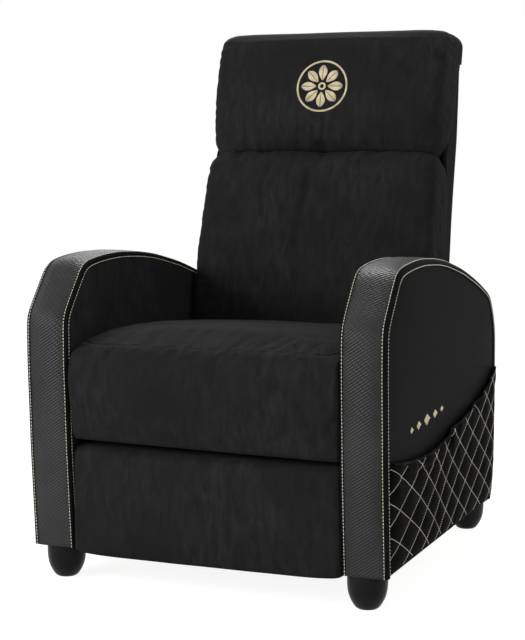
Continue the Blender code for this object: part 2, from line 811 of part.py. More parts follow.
def make_seat_frame(axis):
    hinge_depth, hinge_height = RECLINE_HINGE
    front_roller, rear_roller = ROLLER_DEPTHS
    outline = [
        (SEAT_PLATE_FRONT, SEAT_PLATE_TOP),
        (hinge_depth - SEAT_RISER, SEAT_PLATE_TOP),
        (hinge_depth - SEAT_PLATE_MARGIN, hinge_height + SEAT_PLATE_MARGIN),
        (hinge_depth + SEAT_PLATE_MARGIN, hinge_height + SEAT_PLATE_MARGIN),
        (hinge_depth + SEAT_PLATE_MARGIN, hinge_height - SEAT_PLATE_MARGIN),
        (rear_roller + SEAT_PLATE_MARGIN, ROLLER_HEIGHT - SEAT_PLATE_MARGIN),
        (front_roller - SEAT_PLATE_MARGIN, ROLLER_HEIGHT - SEAT_PLATE_MARGIN),
        (GUIDE_PIVOT[0] - SEAT_PLATE_MARGIN, GUIDE_PIVOT[1] - SEAT_PLATE_MARGIN),
        (SEAT_PLATE_FRONT, SEAT_PLATE_TOP - SEAT_RAIL_HEIGHT),
    ]
    middle = (SEAT_PLATE_IN + SEAT_PLATE_OUT) / 2
    link_pin = [
        (BOSS_RADIUS, LINK_OUT + GAP),
        (LINK_SHANK, LINK_IN - GAP),
        (BOSS_RADIUS, LINK_IN - GAP - HEAD_THICKNESS),
    ]
    hinge_pin = [
        (BOSS_RADIUS, ROD_OUT + GAP),
        (RECLINE_SHANK, ROD_IN - GAP),
        (BOSS_RADIUS, ROD_IN - GAP - HEAD_THICKNESS),
    ]
    roller_pin = [
        (BOSS_RADIUS, BASE_PLATE_IN - GAP),
        (ROLLER_RADIUS, BASE_PLATE_OUT - GAP),
    ]
    for label, side in SIDES:
        name = f"{label}_seat_plate"
        plate = side_plate(name, [outline], side * SEAT_PLATE_IN, side * SEAT_PLATE_OUT, BLACK_STEEL)
        rivet(plate, name + "_drive_pin", DRIVE_PIVOT, side, middle, link_pin)
        rivet(plate, name + "_guide_pin", GUIDE_PIVOT, side, middle, link_pin)
        rivet(plate, name + "_hinge_pin", RECLINE_HINGE, side, middle, hinge_pin)
        for depth in ROLLER_DEPTHS:
            rivet(plate, f"{name}_roller_{depth:.2f}", (depth, ROLLER_HEIGHT), side, middle, roller_pin)
        carry([plate], axis)
    reach = SEAT_PLATE_IN - GAP
    rail_top = SEAT_PLATE_TOP
    for place, depth in zip(("front", "rear"), SEAT_RAIL_DEPTHS):
        limits = rectangle(depth, depth + SEAT_RAIL_WIDTH, rail_top - SEAT_RAIL_HEIGHT, rail_top)
        carry([side_plate(f"seat_{place}_rail", [limits], -reach, reach, PINE)], axis)
    spring_height = rail_top - SEAT_RAIL_HEIGHT / 2
    for number, share in enumerate(SPRING_PLACE_SHARES, 1):
        carry([make_seat_spring(f"seat_spring_{number}", share * SEAT_HALF_WIDTH, spring_height)], axis)


def make_seat_spring(name, place, height):
    """A zigzag wire spring that arches from the front rail to the rear rail."""
    start = SEAT_RAIL_DEPTHS[0] + SEAT_RAIL_WIDTH + GAP
    end = SEAT_RAIL_DEPTHS[1] - GAP
    points = [(place, start, height)]
    count = SPRING_WAVES * SPRING_WAVE_POINTS
    for step in range(count + 1):
        share = step / count
        points.append(
            (
                place + SPRING_SWING * math.sin(math.tau * SPRING_WAVES * share),
                mix(start + SPRING_WIRE, end - SPRING_WIRE, share),
                height + SPRING_ARCH * math.sin(math.pi * share),
            )
        )
    points.append((place, end, height))
    curve = bpy.data.curves.new(name, "CURVE")
    curve.dimensions = "3D"
    curve.bevel_depth = SPRING_WIRE / 2
    curve.bevel_resolution = 1
    curve.use_fill_caps = True
    spline = curve.splines.new("POLY")
    spline.points.add(len(points) - 1)
    for point, spot in zip(spline.points, points):
        point.co = (*spot, 1)
    spring = add_piece(name, mesh_of_curve(curve, name), ZINC_STEEL, smooth=True)
    spring.location = (0, FRONT_Y, 0)
    return spring


def make_seat_cushion(axis):
    """The crowned seat, whose front drops in a skirt before the front rail."""
    top_shares = dict(zip(SEAT_ALONG_SHARES, SEAT_TOP_SHARES))

    def place(across, along, up):
        half = SEAT_HALF_WIDTH - SEAT_DRAWN_IN * hump(along)
        depth = mix(SEAT_FRONT, SEAT_REAR, along) - SEAT_BULGE * hump(up) * (1 - along) ** 8
        bottom = SEAT_SKIRT if along < SEAT_SKIRT_SHARE else SEAT_PLATFORM
        crown = SEAT_CROWN * (1 - across**2) * hump(along)
        top = SEAT_PLATFORM + SEAT_HEIGHT * top_shares[along] + crown
        if along == 0:
            bottom += SEAT_EDGE
            depth += SEAT_EDGE * across**4
        return (across * half, FRONT_Y + depth, mix(bottom, top, up))

    cage, _ = soft_cage((SEAT_ACROSS_SHARES, SEAT_ALONG_SHARES, SEAT_UP_SHARES), place)
    cushion = add_piece("seat_cushion", mesh_of_cage(cage, "seat_cushion"), NAP_FABRIC)
    soften(cushion)
    carry([cushion], axis)


def make_back_frame(axis):
    stile_out = ROD_IN - GAP
    stile_in = stile_out - STILE_WIDTH
    middle = (ROD_IN + ROD_OUT) / 2
    bracket_tip = back_point(BRACKET_RISE, (STILE_FRONT + STILE_REAR) / 2)
    for label, side in SIDES:
        stile = side_plate(
            f"{label}_back_stile",
            [back_rectangle(STILE_BOTTOM_RISE, STILE_TOP_RISE, STILE_FRONT, STILE_REAR)],
            side * stile_in,
            side * stile_out,
            PINE,
        )
        name = f"{label}_back_bracket"
        circles = [
            (RECLINE_HINGE, BRACKET_EYE_RADIUS),
            (RECLINE_PIN, BRACKET_END_RADIUS),
            (bracket_tip, BRACKET_END_RADIUS),
        ]
        bracket = side_plate(
            name,
            [wrapped(circles), hole(RECLINE_HINGE, RECLINE_SHANK)],
            side * ROD_IN,
            side * ROD_OUT,
            BLACK_STEEL,
        )
        pin = [(RECLINE_PIN_RADIUS, BASE_PLATE_OUT - GAP)]
        rivet(bracket, name + "_recline_pin", RECLINE_PIN, side, middle, pin)
        carry([stile, bracket], axis)
    reach = stile_in - GAP
    rails = (
        ("back_top_rail", BACK_TOP_RISE - SHELL_WALL - GAP - BACK_RAIL_HEIGHT),
        ("back_bottom_rail", BACK_BOTTOM_RAIL_RISE),
    )
    for name, rise in rails:
        outline = back_rectangle(rise, rise + BACK_RAIL_HEIGHT, STILE_FRONT, STILE_REAR)
        carry([side_plate(name, [outline], -reach, reach, PINE)], axis)


def make_back_shell(axis):
    """The upholstered rear of the back: a tray that is open at the front and holds the frame."""

    def place(across, along, through):
        half = BACK_HALF_WIDTH if along > SHELL_WAIST_SHARE else SHELL_LOW_HALF_WIDTH
        front = SHELL_FRONT if along < SHELL_SHOULDER_SHARE else STILE_FRONT + SHELL_WALL
        rear = mix(SHELL_REAR_LOW, SHELL_REAR_HIGH, along)
        depth, height = back_point(mix(BACK_BOTTOM_RISE, BACK_TOP_RISE, along), mix(front, rear, through))
        return (across * half, FRONT_Y + depth, height)

    shares = (SHELL_ACROSS_SHARES, SHELL_ALONG_SHARES, SHELL_THROUGH_SHARES)
    cage, spots = soft_cage(shares, place)
    front_faces = [face for face in cage.faces if all(spots[vert][2] == 0 for vert in face.verts)]
    bmesh.ops.delete(cage, geom=front_faces, context="FACES")
    shell = add_piece("back_rear_shell", mesh_of_cage(cage, "back_rear_shell"), NAP_FABRIC)
    soften(shell)
    wall = shell.modifiers.new("wall", "SOLIDIFY")
    wall.thickness = SHELL_WALL
    wall.offset = -1
    wall.use_even_offset = True
    outline = back_rectangle(BACK_BOTTOM_RISE - OVERRUN, NOTCH_RISE, -OVERRUN, NOTCH_REAR)
    for label, side in SIDES:
        notch = side_cutter(
            f"{label}_shell_notch",
            outline,
            side * (ROD_IN - GAP - STILE_WIDTH - GAP),
            side * (ARM_INNER + OVERRUN),
        )
        combine(shell, notch, "DIFFERENCE")
    carry([shell], axis)


def make_back_cushions(axis):
    """The long lower cushion with its sewn centre channel, and the headrest over the top."""
    lower_widths = dict(zip(LOWER_ALONG_SHARES, LOWER_WIDTH_SHARES))
    rear = STILE_FRONT - GAP
    head_length = HEAD_TOP_RISE - HEAD_BOTTOM_RISE
    step_share = (HEAD_STEP_RISE - HEAD_BOTTOM_RISE) / head_length
    step_shares = [step_share + lift / head_length for lift in HEAD_STEP_SPREAD]
    head_along_shares = [*HEAD_LOW_SHARES, *step_shares, *HEAD_HIGH_SHARES]
    head_widths = dict(zip(head_along_shares, HEAD_WIDTH_SHARES))

    def place_lower(across, along, through):
        half = CUSHION_HALF_WIDTH * lower_widths[along]
        if along < LOWER_WAIST_SHARE and through > 0:
            half = CUSHION_REAR_HALF_WIDTH
        front = -LOWER_CROWN * (1 - across**2) * hump(along)
        front += LOWER_TUCK * (1 - along) ** 4 + CUSHION_SEAM_DROP * along**6
        if across == 0:
            front += LOWER_CHANNEL
        rise = mix(LOWER_BOTTOM_RISE, LOWER_TOP_RISE, along)
        depth, height = back_point(rise, mix(front, rear, through))
        return (across * half, FRONT_Y + depth, height)

    def place_head(across, along, through):
        half = CUSHION_HALF_WIDTH * (1 if through > CUSHION_WRAP_SHARE else head_widths[along])
        front = -HEAD_CROWN * (1 - across**4) * hump(along) + CUSHION_SEAM_DROP * (1 - along) ** 6
        over = HEAD_OVERHANG if along > step_share else rear
        rise = mix(HEAD_BOTTOM_RISE, HEAD_TOP_RISE, along)
        depth, height = back_point(rise, mix(front, over, through))
        return (across * half, FRONT_Y + depth, height)

    plans = (
        ("back_lower_cushion", LOWER_ACROSS_SHARES, LOWER_ALONG_SHARES, place_lower),
        ("headrest_cushion", HEAD_ACROSS_SHARES, head_along_shares, place_head),
    )
    for name, across_shares, along_shares, place in plans:
        cage, _ = soft_cage((across_shares, along_shares, CUSHION_THROUGH_SHARES), place)
        cushion = add_piece(name, mesh_of_cage(cage, name), NAP_FABRIC)
        soften(cushion)
        carry([cushion], axis)


def make_drive_links(axis):
    """The cranked links that swing the footrest out, joined by a torque tube."""
    middle = (LINK_IN + LINK_OUT) / 2
    inward_pin = [
        (LINK_BOSS, CARRIER_OUT + GAP),
        (LINK_SHANK, CARRIER_IN - GAP),
        (LINK_BOSS, CARRIER_IN - GAP - HEAD_THICKNESS),
    ]
    outward_pin = [
        (LINK_BOSS, ROD_IN - GAP),
        (LINK_SHANK, ROD_OUT + GAP),
        (LINK_BOSS, ROD_OUT + GAP + HEAD_THICKNESS),
    ]
    for label, side in SIDES:
        name = f"{label}_drive_link"
        eyes = [(DRIVE_PIVOT, LINK_EYE), (DRIVE_END, LINK_EYE), (CRANK_PIN, LINK_HALF_WIDTH)]
        link = side_plate(
            name,
            [wrapped(eyes), hole(DRIVE_PIVOT, LINK_SHANK)],
            side * LINK_IN,
            side * LINK_OUT,
            BLACK_STEEL,
        )
        rivet(link, name + "_carrier_pin", DRIVE_END, side, middle, inward_pin)
        rivet(link, name + "_crank_pin", CRANK_PIN, side, middle, outward_pin)
        carry([link], axis)
    centre = ((DRIVE_PIVOT[0] + DRIVE_END[0]) / 2, (DRIVE_PIVOT[1] + DRIVE_END[1]) / 2)
    rings = [
        circle(centre, TORQUE_TUBE_RADIUS, TORQUE_TUBE_STEPS),
        circle(centre, TORQUE_TUBE_RADIUS - TUBE_WALL, TORQUE_TUBE_STEPS),
    ]
    reach = LINK_IN - GAP
    carry([side_plate("footrest_torque_tube", rings, -reach, reach, BLACK_STEEL)], axis)


def make_guide_links(axis):
    middle = (LINK_IN + LINK_OUT) / 2
    pin = [
        (LINK_BOSS, CARRIER_OUT + GAP),
        (LINK_SHANK, CARRIER_IN - GAP),
        (LINK_BOSS, CARRIER_IN - GAP - HEAD_THICKNESS),
    ]
    for label, side in SIDES:
        name = f"{label}_guide_link"
        outlines = [strap([GUIDE_PIVOT, GUIDE_END], LINK_HALF_WIDTH), hole(GUIDE_PIVOT, LINK_SHANK)]
        link = side_plate(name, outlines, side * LINK_IN, side * LINK_OUT, BLACK_STEEL)
        rivet(link, name + "_carrier_pin", GUIDE_END, side, middle, pin)
        carry([link], axis)


def make_carrier_links(axis):
    """The bent links that the two swinging links carry level, with the footrest at their end."""
    middle = (CARRIER_IN + CARRIER_OUT) / 2
    pin = [
        (LINK_BOSS, BRACKET_OUT + GAP),
        (LINK_SHANK, BRACKET_IN - GAP),
        (LINK_BOSS, BRACKET_IN - GAP - HEAD_THICKNESS),
    ]
    for label, side in SIDES:
        name = f"{label}_carrier_link"
        outlines = [
            strap([GUIDE_END, DRIVE_END, FOOTREST_PIVOT], LINK_HALF_WIDTH),
            hole(GUIDE_END, LINK_SHANK, OPEN_CLEARANCE),
            hole(DRIVE_END, LINK_SHANK),
        ]
        link = side_plate(name, outlines, side * CARRIER_IN, side * CARRIER_OUT, BLACK_STEEL)
        rivet(link, name + "_footrest_pin", FOOTREST_PIVOT, side, middle, pin)
        carry([link], axis)


def make_tilt_rods(axis):
    """The rods that turn the footrest as fast as the drive links swing."""
    for label, side in SIDES:
        outlines = [
            strap([CRANK_PIN, ROD_PIN], ROD_HALF_WIDTH),
            hole(CRANK_PIN, LINK_SHANK),
            hole(ROD_PIN, ROD_SHANK, OPEN_CLEARANCE),
        ]
        rod = side_plate(f"{label}_tilt_rod", outlines, side * ROD_IN, side * ROD_OUT, BLACK_STEEL)
        carry([rod], axis)


def make_footrest(axis):
    reach = FOOTREST_HALF_WIDTH - FOOTREST_BOARD_MARGIN
    board_outline = rectangle(
        FOOTREST_BOARD_FRONT,
        FOOTREST_BOARD_REAR,
        FOOTREST_BOTTOM + FOOTREST_BOARD_MARGIN,
        FOOTREST_TOP - FOOTREST_BOARD_MARGIN / 2,
    )
    board = side_plate("footrest_board", [board_outline], -reach, reach, PINE)
    rear = FOOTREST_BOARD_FRONT - GAP

    def place(across, up, through):
        half = FOOTREST_HALF_WIDTH
        height = mix(FOOTREST_BOTTOM, FOOTREST_TOP, up)
        if up == 0:
            half -= FOOTREST_EDGE / 2
            height += FOOTREST_EDGE * across**6
        front = FOOTREST_FRONT - FOOTREST_CROWN * (1 - across**6) * hump(up)
        return (across * half, FRONT_Y + mix(front, rear, through), height)

    shares = (FOOTREST_ACROSS_SHARES, FOOTREST_UP_SHARES, FOOTREST_THROUGH_SHARES)
    cage, _ = soft_cage(shares, place)
    pad = add_piece("footrest_pad", mesh_of_cage(cage, "footrest_pad"), NAP_FABRIC)
    soften(pad)
    carry([board, pad], axis)

    middle = (BRACKET_IN + BRACKET_OUT) / 2
    flange_rear = FOOTREST_BOARD_REAR + GAP + PLATE
    edge = FOOTREST_BOARD_REAR + GAP + PLATE / 2
    flange_top = FOOTREST_TOP - FOOTREST_BOARD_MARGIN
    flange_outline = rectangle(FOOTREST_BOARD_REAR + GAP, flange_rear, FLANGE_BOTTOM, flange_top)
    rod_pin = [
        (ROD_BOSS, ROD_IN - GAP),
        (ROD_SHANK, ROD_OUT + GAP),
        (ROD_BOSS, ROD_OUT + GAP + HEAD_THICKNESS),
    ]
    for label, side in SIDES:
        name = f"{label}_footrest_bracket"
        corners = [
            (FOOTREST_PIVOT, LINK_EYE),
            (ROD_PIN, LINK_HALF_WIDTH),
            ((edge, FLANGE_BOTTOM + PLATE), FLANGE_CORNER),
            ((edge, flange_top - PLATE), FLANGE_CORNER),
        ]
        outlines = [wrapped(corners), hole(FOOTREST_PIVOT, LINK_SHANK)]
        bracket = side_plate(name, outlines, side * BRACKET_IN, side * BRACKET_OUT, BLACK_STEEL)
        flange = side_cutter(
            name + "_flange",
            flange_outline,
            side * (BRACKET_IN - FLANGE_WIDTH),
            side * middle,
        )
        combine(bracket, flange, "UNION")
        rivet(bracket, name + "_rod_pin", ROD_PIN, side, middle, rod_pin)
        carry([bracket], axis)


for arm_label, arm_side in SIDES:
    make_arm(arm_label, arm_side)
    make_base(arm_label, arm_side)
make_cross_tubes()

seat_axis = joint_axis("seat_glide_axis", (ROLLER_DEPTHS[0], ROLLER_HEIGHT))
back_axis = joint_axis("back_recline_axis", RECLINE_HINGE, seat_axis)
drive_axis = joint_axis("drive_link_axis", DRIVE_PIVOT, seat_axis)
guide_axis = joint_axis("guide_link_axis", GUIDE_PIVOT, seat_axis)
carrier_axis = joint_axis("carrier_link_axis", DRIVE_END, drive_axis)
rod_axis = joint_axis("tilt_rod_axis", CRANK_PIN, drive_axis)
footrest_axis = joint_axis("footrest_axis", FOOTREST_PIVOT, carrier_axis)

make_seat_frame(seat_axis)
make_seat_cushion(seat_axis)
make_back_frame(back_axis)
make_back_shell(back_axis)
make_back_cushions(back_axis)
make_drive_links(drive_axis)
make_guide_links(guide_axis)
make_carrier_links(carrier_axis)
make_tilt_rods(rod_axis)
make_footrest(footrest_axis)
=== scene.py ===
"""The look of a push-back gaming recliner in black nap fabric and faux leather with gold stitching.

Each piece is modelled round the solids that the frame holds. Metres: +X is the viewer's right, the
chair faces -Y and +Z is up. Outlines of the side view are (y, z), and the back has its own leaning
frame: rise along it, and through it from its front face.
"""

import json
import math

import bmesh
import bpy
import numpy as np
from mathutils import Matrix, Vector, noise
from mathutils.bvhtree import BVHTree
from mathutils.geometry import convex_hull_2d


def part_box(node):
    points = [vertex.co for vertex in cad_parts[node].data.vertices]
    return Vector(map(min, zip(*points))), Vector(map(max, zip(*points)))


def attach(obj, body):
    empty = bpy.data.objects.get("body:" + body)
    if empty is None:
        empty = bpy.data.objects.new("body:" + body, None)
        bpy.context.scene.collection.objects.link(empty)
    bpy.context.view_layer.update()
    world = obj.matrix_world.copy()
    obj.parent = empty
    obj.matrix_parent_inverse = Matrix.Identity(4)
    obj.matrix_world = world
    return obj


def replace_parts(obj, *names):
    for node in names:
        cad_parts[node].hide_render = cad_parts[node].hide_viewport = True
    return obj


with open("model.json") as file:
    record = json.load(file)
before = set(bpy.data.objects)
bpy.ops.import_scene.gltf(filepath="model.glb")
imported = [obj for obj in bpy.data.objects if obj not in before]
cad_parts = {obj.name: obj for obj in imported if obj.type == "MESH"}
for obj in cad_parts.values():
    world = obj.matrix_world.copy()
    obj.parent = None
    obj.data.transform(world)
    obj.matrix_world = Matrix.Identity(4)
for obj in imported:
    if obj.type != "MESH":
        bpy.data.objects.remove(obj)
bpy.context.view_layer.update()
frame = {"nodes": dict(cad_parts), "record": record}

# Camera, floor and light
# The chair stands in a white studio, seen from its front left and from a little above. Soft boxes
# light it, and the floor is white to the camera but keeps the shadow under the chair.
CAMERA_PLACE = (1.18628, -3.00026, 0.80161)
CAMERA_TARGET = (-0.0053, -0.0800, 0.4767)
CAMERA_LENS = 90.61
CAMERA_SENSOR = 36.0
WHITE = (1.0, 1.0, 1.0, 1)
FLOOR_SIZE = 40.0
FLOOR_WHITE = (0.80, 0.80, 0.80, 1)
FLOOR_KEPT_LIGHT = (0.30, 0.30, 0.30, 1)
FLOOR_GLOW = 0.90
ROOM_LIGHT = 0.42
BACKDROP_LIGHT = 1.0
SOFT_BOXES = {
    "key_light": ((-2.3, -2.7, 1.7), (0.0, 0.0, 0.5), 1.6, 80.0),
    "side_light": ((3.2, -0.6, 2.2), (0.2, 0.0, 0.4), 2.4, 26.0),
    "top_light": ((-0.65, 1.5, 2.6), (0.0, 0.0, 0.5), 1.3, 54.0),
}

scene = bpy.context.scene
scene.view_settings.view_transform = "Standard"


def aim(thing, place, target):
    thing.location = place
    thing.rotation_euler = (Vector(target) - Vector(place)).to_track_quat("-Z", "Y").to_euler()
    scene.collection.objects.link(thing)


camera = bpy.data.objects.new("camera", bpy.data.cameras.new("camera"))
camera.data.sensor_width = CAMERA_SENSOR
camera.data.lens = CAMERA_LENS
aim(camera, CAMERA_PLACE, CAMERA_TARGET)
scene.camera = camera

for light_name, (light_place, light_target, light_size, light_power) in SOFT_BOXES.items():
    lamp = bpy.data.lights.new(light_name, "AREA")
    lamp.size = light_size
    lamp.energy = light_power
    aim(bpy.data.objects.new(light_name, lamp), light_place, light_target)


def feed(tree, socket, value):
    """Links a socket to the socket that feeds it, or gives it a plain value."""
    if isinstance(value, bpy.types.NodeSocket):
        tree.links.new(value, socket)
    elif value is not None:
        socket.default_value = value


def add_node(tree, kind, settings=None, inputs=None):
    """A node with its settings and its inputs, each a feeding socket or a plain value."""
    node = tree.nodes.new(kind)
    for name, value in (settings or {}).items():
        setattr(node, name, value)
    for name, value in (inputs or {}).items():
        feed(tree, node.inputs[name], value)
    return node


def maths(tree, operation, first, second=None):
    """The result of a maths node: its operands are sockets or numbers."""
    return add_node(tree, "ShaderNodeMath", {"operation": operation}, {0: first, 1: second}).outputs[0]


def seen_directly(tree):
    """1 on the rays that show the surroundings: camera, mirror and glass rays."""
    path = tree.nodes.new("ShaderNodeLightPath")
    shown = maths(tree, "MAXIMUM", path.outputs["Is Camera Ray"], path.outputs["Is Glossy Ray"])
    return maths(tree, "MAXIMUM", shown, path.outputs["Is Transmission Ray"])


def finish_studio(tree, lighting, shown, output_kind):
    """Ends a tree of the studio: one shader lights the chair, and the other is what is seen."""
    mixed = add_node(
        tree,
        "ShaderNodeMixShader",
        inputs={0: seen_directly(tree), 1: lighting.outputs[0], 2: shown.outputs[0]},
    )
    add_node(tree, output_kind, inputs={0: mixed.outputs[0]})


world = bpy.data.worlds.new("studio")
scene.world = world
world.use_nodes = True
sky = world.node_tree
sky.nodes.clear()
room = add_node(sky, "ShaderNodeBackground", inputs={"Color": WHITE, "Strength": ROOM_LIGHT})
backdrop = add_node(sky, "ShaderNodeBackground", inputs={"Color": WHITE, "Strength": BACKDROP_LIGHT})
finish_studio(sky, room, backdrop, "ShaderNodeOutputWorld")

floor_surface = bpy.data.materials.new("studio_floor")
floor_surface.use_nodes = True
floor_tree = floor_surface.node_tree
floor_tree.nodes.clear()
plain = add_node(floor_tree, "ShaderNodeBsdfDiffuse", inputs={"Color": FLOOR_WHITE})
shadowed = add_node(floor_tree, "ShaderNodeBsdfDiffuse", inputs={"Color": FLOOR_KEPT_LIGHT})
glow = add_node(floor_tree, "ShaderNodeEmission", inputs={"Color": WHITE, "Strength": FLOOR_GLOW})
lifted = add_node(floor_tree, "ShaderNodeAddShader", inputs={0: shadowed.outputs[0], 1: glow.outputs[0]})
finish_studio(floor_tree, plain, lifted, "ShaderNodeOutputMaterial")
bpy.ops.mesh.primitive_plane_add(size=FLOOR_SIZE)
floor = bpy.context.object
floor.name = "floor"
floor.data.materials.append(floor_surface)

# Feet
# Four turned feet of black moulded plastic, each with a rounded shoulder and a narrow glide. They
# are screwed up into the arms' bottom rails.
FOOT_PROFILE_SHARES = (
    (0.93, 1.000), (0.985, 0.985), (1.0, 0.95), (1.005, 0.80), (0.998, 0.68), (0.975, 0.54), (0.935, 0.42),
    (0.85, 0.28), (0.75, 0.17), (0.64, 0.075), (0.57, 0.03), (0.50, 0.01), (0.48, 0.0),
)
FOOT_WIDEST_SHARE = 1.005
FOOT_STEPS = 64
PLASTIC_TONES = ((0.0065, 0.0065, 0.0070, 1), (0.0120, 0.0120, 0.0130, 1))
PLASTIC_MOTTLE_SCALE = 30.0
PLASTIC_ROUGHNESS = (0.29, 0.42)
PLASTIC_SHINE = 0.08
PLASTIC_GRAIN_SCALE = 1400.0
PLASTIC_GRAIN = (0.05, 0.001)
SHARP_ANGLE = math.radians(40)


def effect_group(name, inputs, outputs):
    """An empty group of shader nodes with named sockets, the sockets it is given and its results."""
    group = bpy.data.node_groups.new(name, "ShaderNodeTree")
    for direction, sockets in (("INPUT", inputs), ("OUTPUT", outputs)):
        for label, kind in sockets.items():
            group.interface.new_socket(label, in_out=direction, socket_type=f"NodeSocket{kind}")
    return group, group.nodes.new("NodeGroupInput").outputs, group.nodes.new("NodeGroupOutput").inputs


def use_group(tree, group, inputs):
    """The outputs of a shader group that is used with these inputs."""
    return add_node(tree, "ShaderNodeGroup", {"node_tree": group}, inputs).outputs


def blend_colours(tree, share, first, second):
    """Two colours mixed by a share."""
    # The colour sockets of a mix node are its seventh and eighth inputs and its third output.
    blend = add_node(tree, "ShaderNodeMix", {"data_type": "RGBA"}, {"Factor": share, 6: first, 7: second})
    return blend.outputs[2]


def make_mottle():
    """Two colours mixed by a soft cloudy noise, as dye and handling vary over any surface."""
    group, given, result = effect_group(
        "mottle",
        {"Vector": "Vector", "Low": "Color", "High": "Color", "Scale": "Float"},
        {"Color": "Color", "Mask": "Float"},
    )
    cloud = add_node(
        group,
        "ShaderNodeTexNoise",
        inputs={"Vector": given["Vector"], "Scale": given["Scale"], "Detail": 5.0, "Roughness": 0.6},
    )
    spread = add_node(
        group,
        "ShaderNodeMapRange",
        inputs={"Value": cloud.outputs["Fac"], "From Min": 0.30, "From Max": 0.70},
    )
    feed(group, result["Color"], blend_colours(group, spread.outputs[0], given["Low"], given["High"]))
    feed(group, result["Mask"], spread.outputs[0])
    return group


MOTTLE = make_mottle()


def new_surface(name, values):
    """A material whose Principled shader has these plain values, with its tree and its place socket."""
    surface = bpy.data.materials.new(name)
    surface.use_nodes = True
    tree = surface.node_tree
    shader = tree.nodes["Principled BSDF"]
    for label, value in values.items():
        shader.inputs[label].default_value = value
    place = tree.nodes.new("ShaderNodeTexCoord").outputs["Object"]
    return surface, tree, shader, place


def mottled_surface(name, values, tones, mottle_scale, roughness):
    """A material in two mottled tones, whose roughness varies with them."""
    surface, tree, shader, place = new_surface(name, values)
    mottle_inputs = {"Vector": place, "Low": tones[0], "High": tones[1], "Scale": mottle_scale}
    cloud = use_group(tree, MOTTLE, mottle_inputs)
    feed(tree, shader.inputs["Base Color"], cloud["Color"])
    spread_roughness(tree, shader, cloud["Mask"], roughness)
    return surface, tree, shader, place


def spread_roughness(tree, shader, mask, roughness):
    """Varies the roughness between two values over a mask."""
    span = add_node(
        tree, "ShaderNodeMapRange", inputs={"Value": mask, "To Min": roughness[0], "To Max": roughness[1]}
    )
    feed(tree, shader.inputs["Roughness"], span.outputs[0])


def raise_bump(tree, shader, height, strength, distance):
    """Gives the surface a fine relief."""
    bump = add_node(
        tree, "ShaderNodeBump", inputs={"Height": height, "Strength": strength, "Distance": distance}
    )
    feed(tree, shader.inputs["Normal"], bump.outputs[0])


def link_piece(name, points, faces, surface, body, place_on_cloth=None, sharp=None):
    """A new piece of the chair: its mesh, its faces turned outwards, its material and its body."""
    mesh = bpy.data.meshes.new(name)
    mesh.from_pydata([tuple(map(float, point)) for point in points], [], faces)
    shape = bmesh.new()
    shape.from_mesh(mesh)
    bmesh.ops.recalc_face_normals(shape, faces=shape.faces)
    shape.to_mesh(mesh)
    shape.free()
    mesh.shade_smooth()
    if sharp:
        mesh.set_sharp_from_angle(angle=sharp)
    if place_on_cloth is not None:
        layer = mesh.uv_layers.new(name="UVMap")
        corners = np.empty(len(mesh.loops), int)
        mesh.loops.foreach_get("vertex_index", corners)
        layer.data.foreach_set("uv", np.asarray(place_on_cloth, float)[corners].ravel())
    mesh.materials.append(surface)
    piece = bpy.data.objects.new(name, mesh)
    scene.collection.objects.link(piece)
    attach(piece, body)
    return piece


def ring_faces(rings, around, caps=True):
    """Quads between closed rings of points, with a face over each end."""
    faces = []
    for ring in range(rings - 1):
        for step in range(around):
            here = ring * around + step
            beside = ring * around + (step + 1) % around
            faces.append((here, beside, beside + around, here + around))
    if caps:
        faces.append(tuple(range(around)))
        faces.append(tuple(range((rings - 1) * around, rings * around)))
    return faces


def moulded_plastic():
    surface, tree, shader, place = mottled_surface(
        "moulded_plastic",
        {"Specular IOR Level": PLASTIC_SHINE},
        PLASTIC_TONES,
        PLASTIC_MOTTLE_SCALE,
        PLASTIC_ROUGHNESS,
    )
    grain = add_node(tree, "ShaderNodeTexNoise", inputs={"Vector": place, "Scale": PLASTIC_GRAIN_SCALE})
    raise_bump(tree, shader, grain.outputs["Fac"], *PLASTIC_GRAIN)
    return surface


PLASTIC = moulded_plastic()
for side_name in ("left", "right"):
    for end_name in ("front", "rear"):
        node_name = f"{side_name}_{end_name}_foot"
        low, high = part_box(node_name)
        widest = (high[0] - low[0]) / 2 / FOOT_WIDEST_SHARE
        foot_points = []
        for radius_share, height_share in FOOT_PROFILE_SHARES:
            radius = widest * radius_share
            height = low[2] + (high[2] - low[2]) * height_share
            for step in range(FOOT_STEPS):
                turn = math.tau * step / FOOT_STEPS
                across = (low[0] + high[0]) / 2 + radius * math.cos(turn)
                deep = (low[1] + high[1]) / 2 + radius * math.sin(turn)
                foot_points.append((across, deep, height))
        foot = link_piece(
            f"{side_name}_{end_name}_turned_foot",
            foot_points,
            ring_faces(len(FOOT_PROFILE_SHARES), FOOT_STEPS),
            PLASTIC,
            "base",
            sharp=SHARP_ANGLE,
        )
        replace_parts(foot, node_name)

# Wooden frames
# Posts, rails, side boards and the footrest board are bare pine and plywood, sawn square and
# stapled together under the upholstery.
PINE_TONES = ((0.46, 0.29, 0.14, 1), (0.68, 0.49, 0.28, 1))
PINE_RING_SCALE = 9.0
PINE_SAW_SCALE = 260.0
PINE_SAW_MARKS = (0.35, 0.001)
PINE_STRETCH = (1.0, 0.12, 0.12)


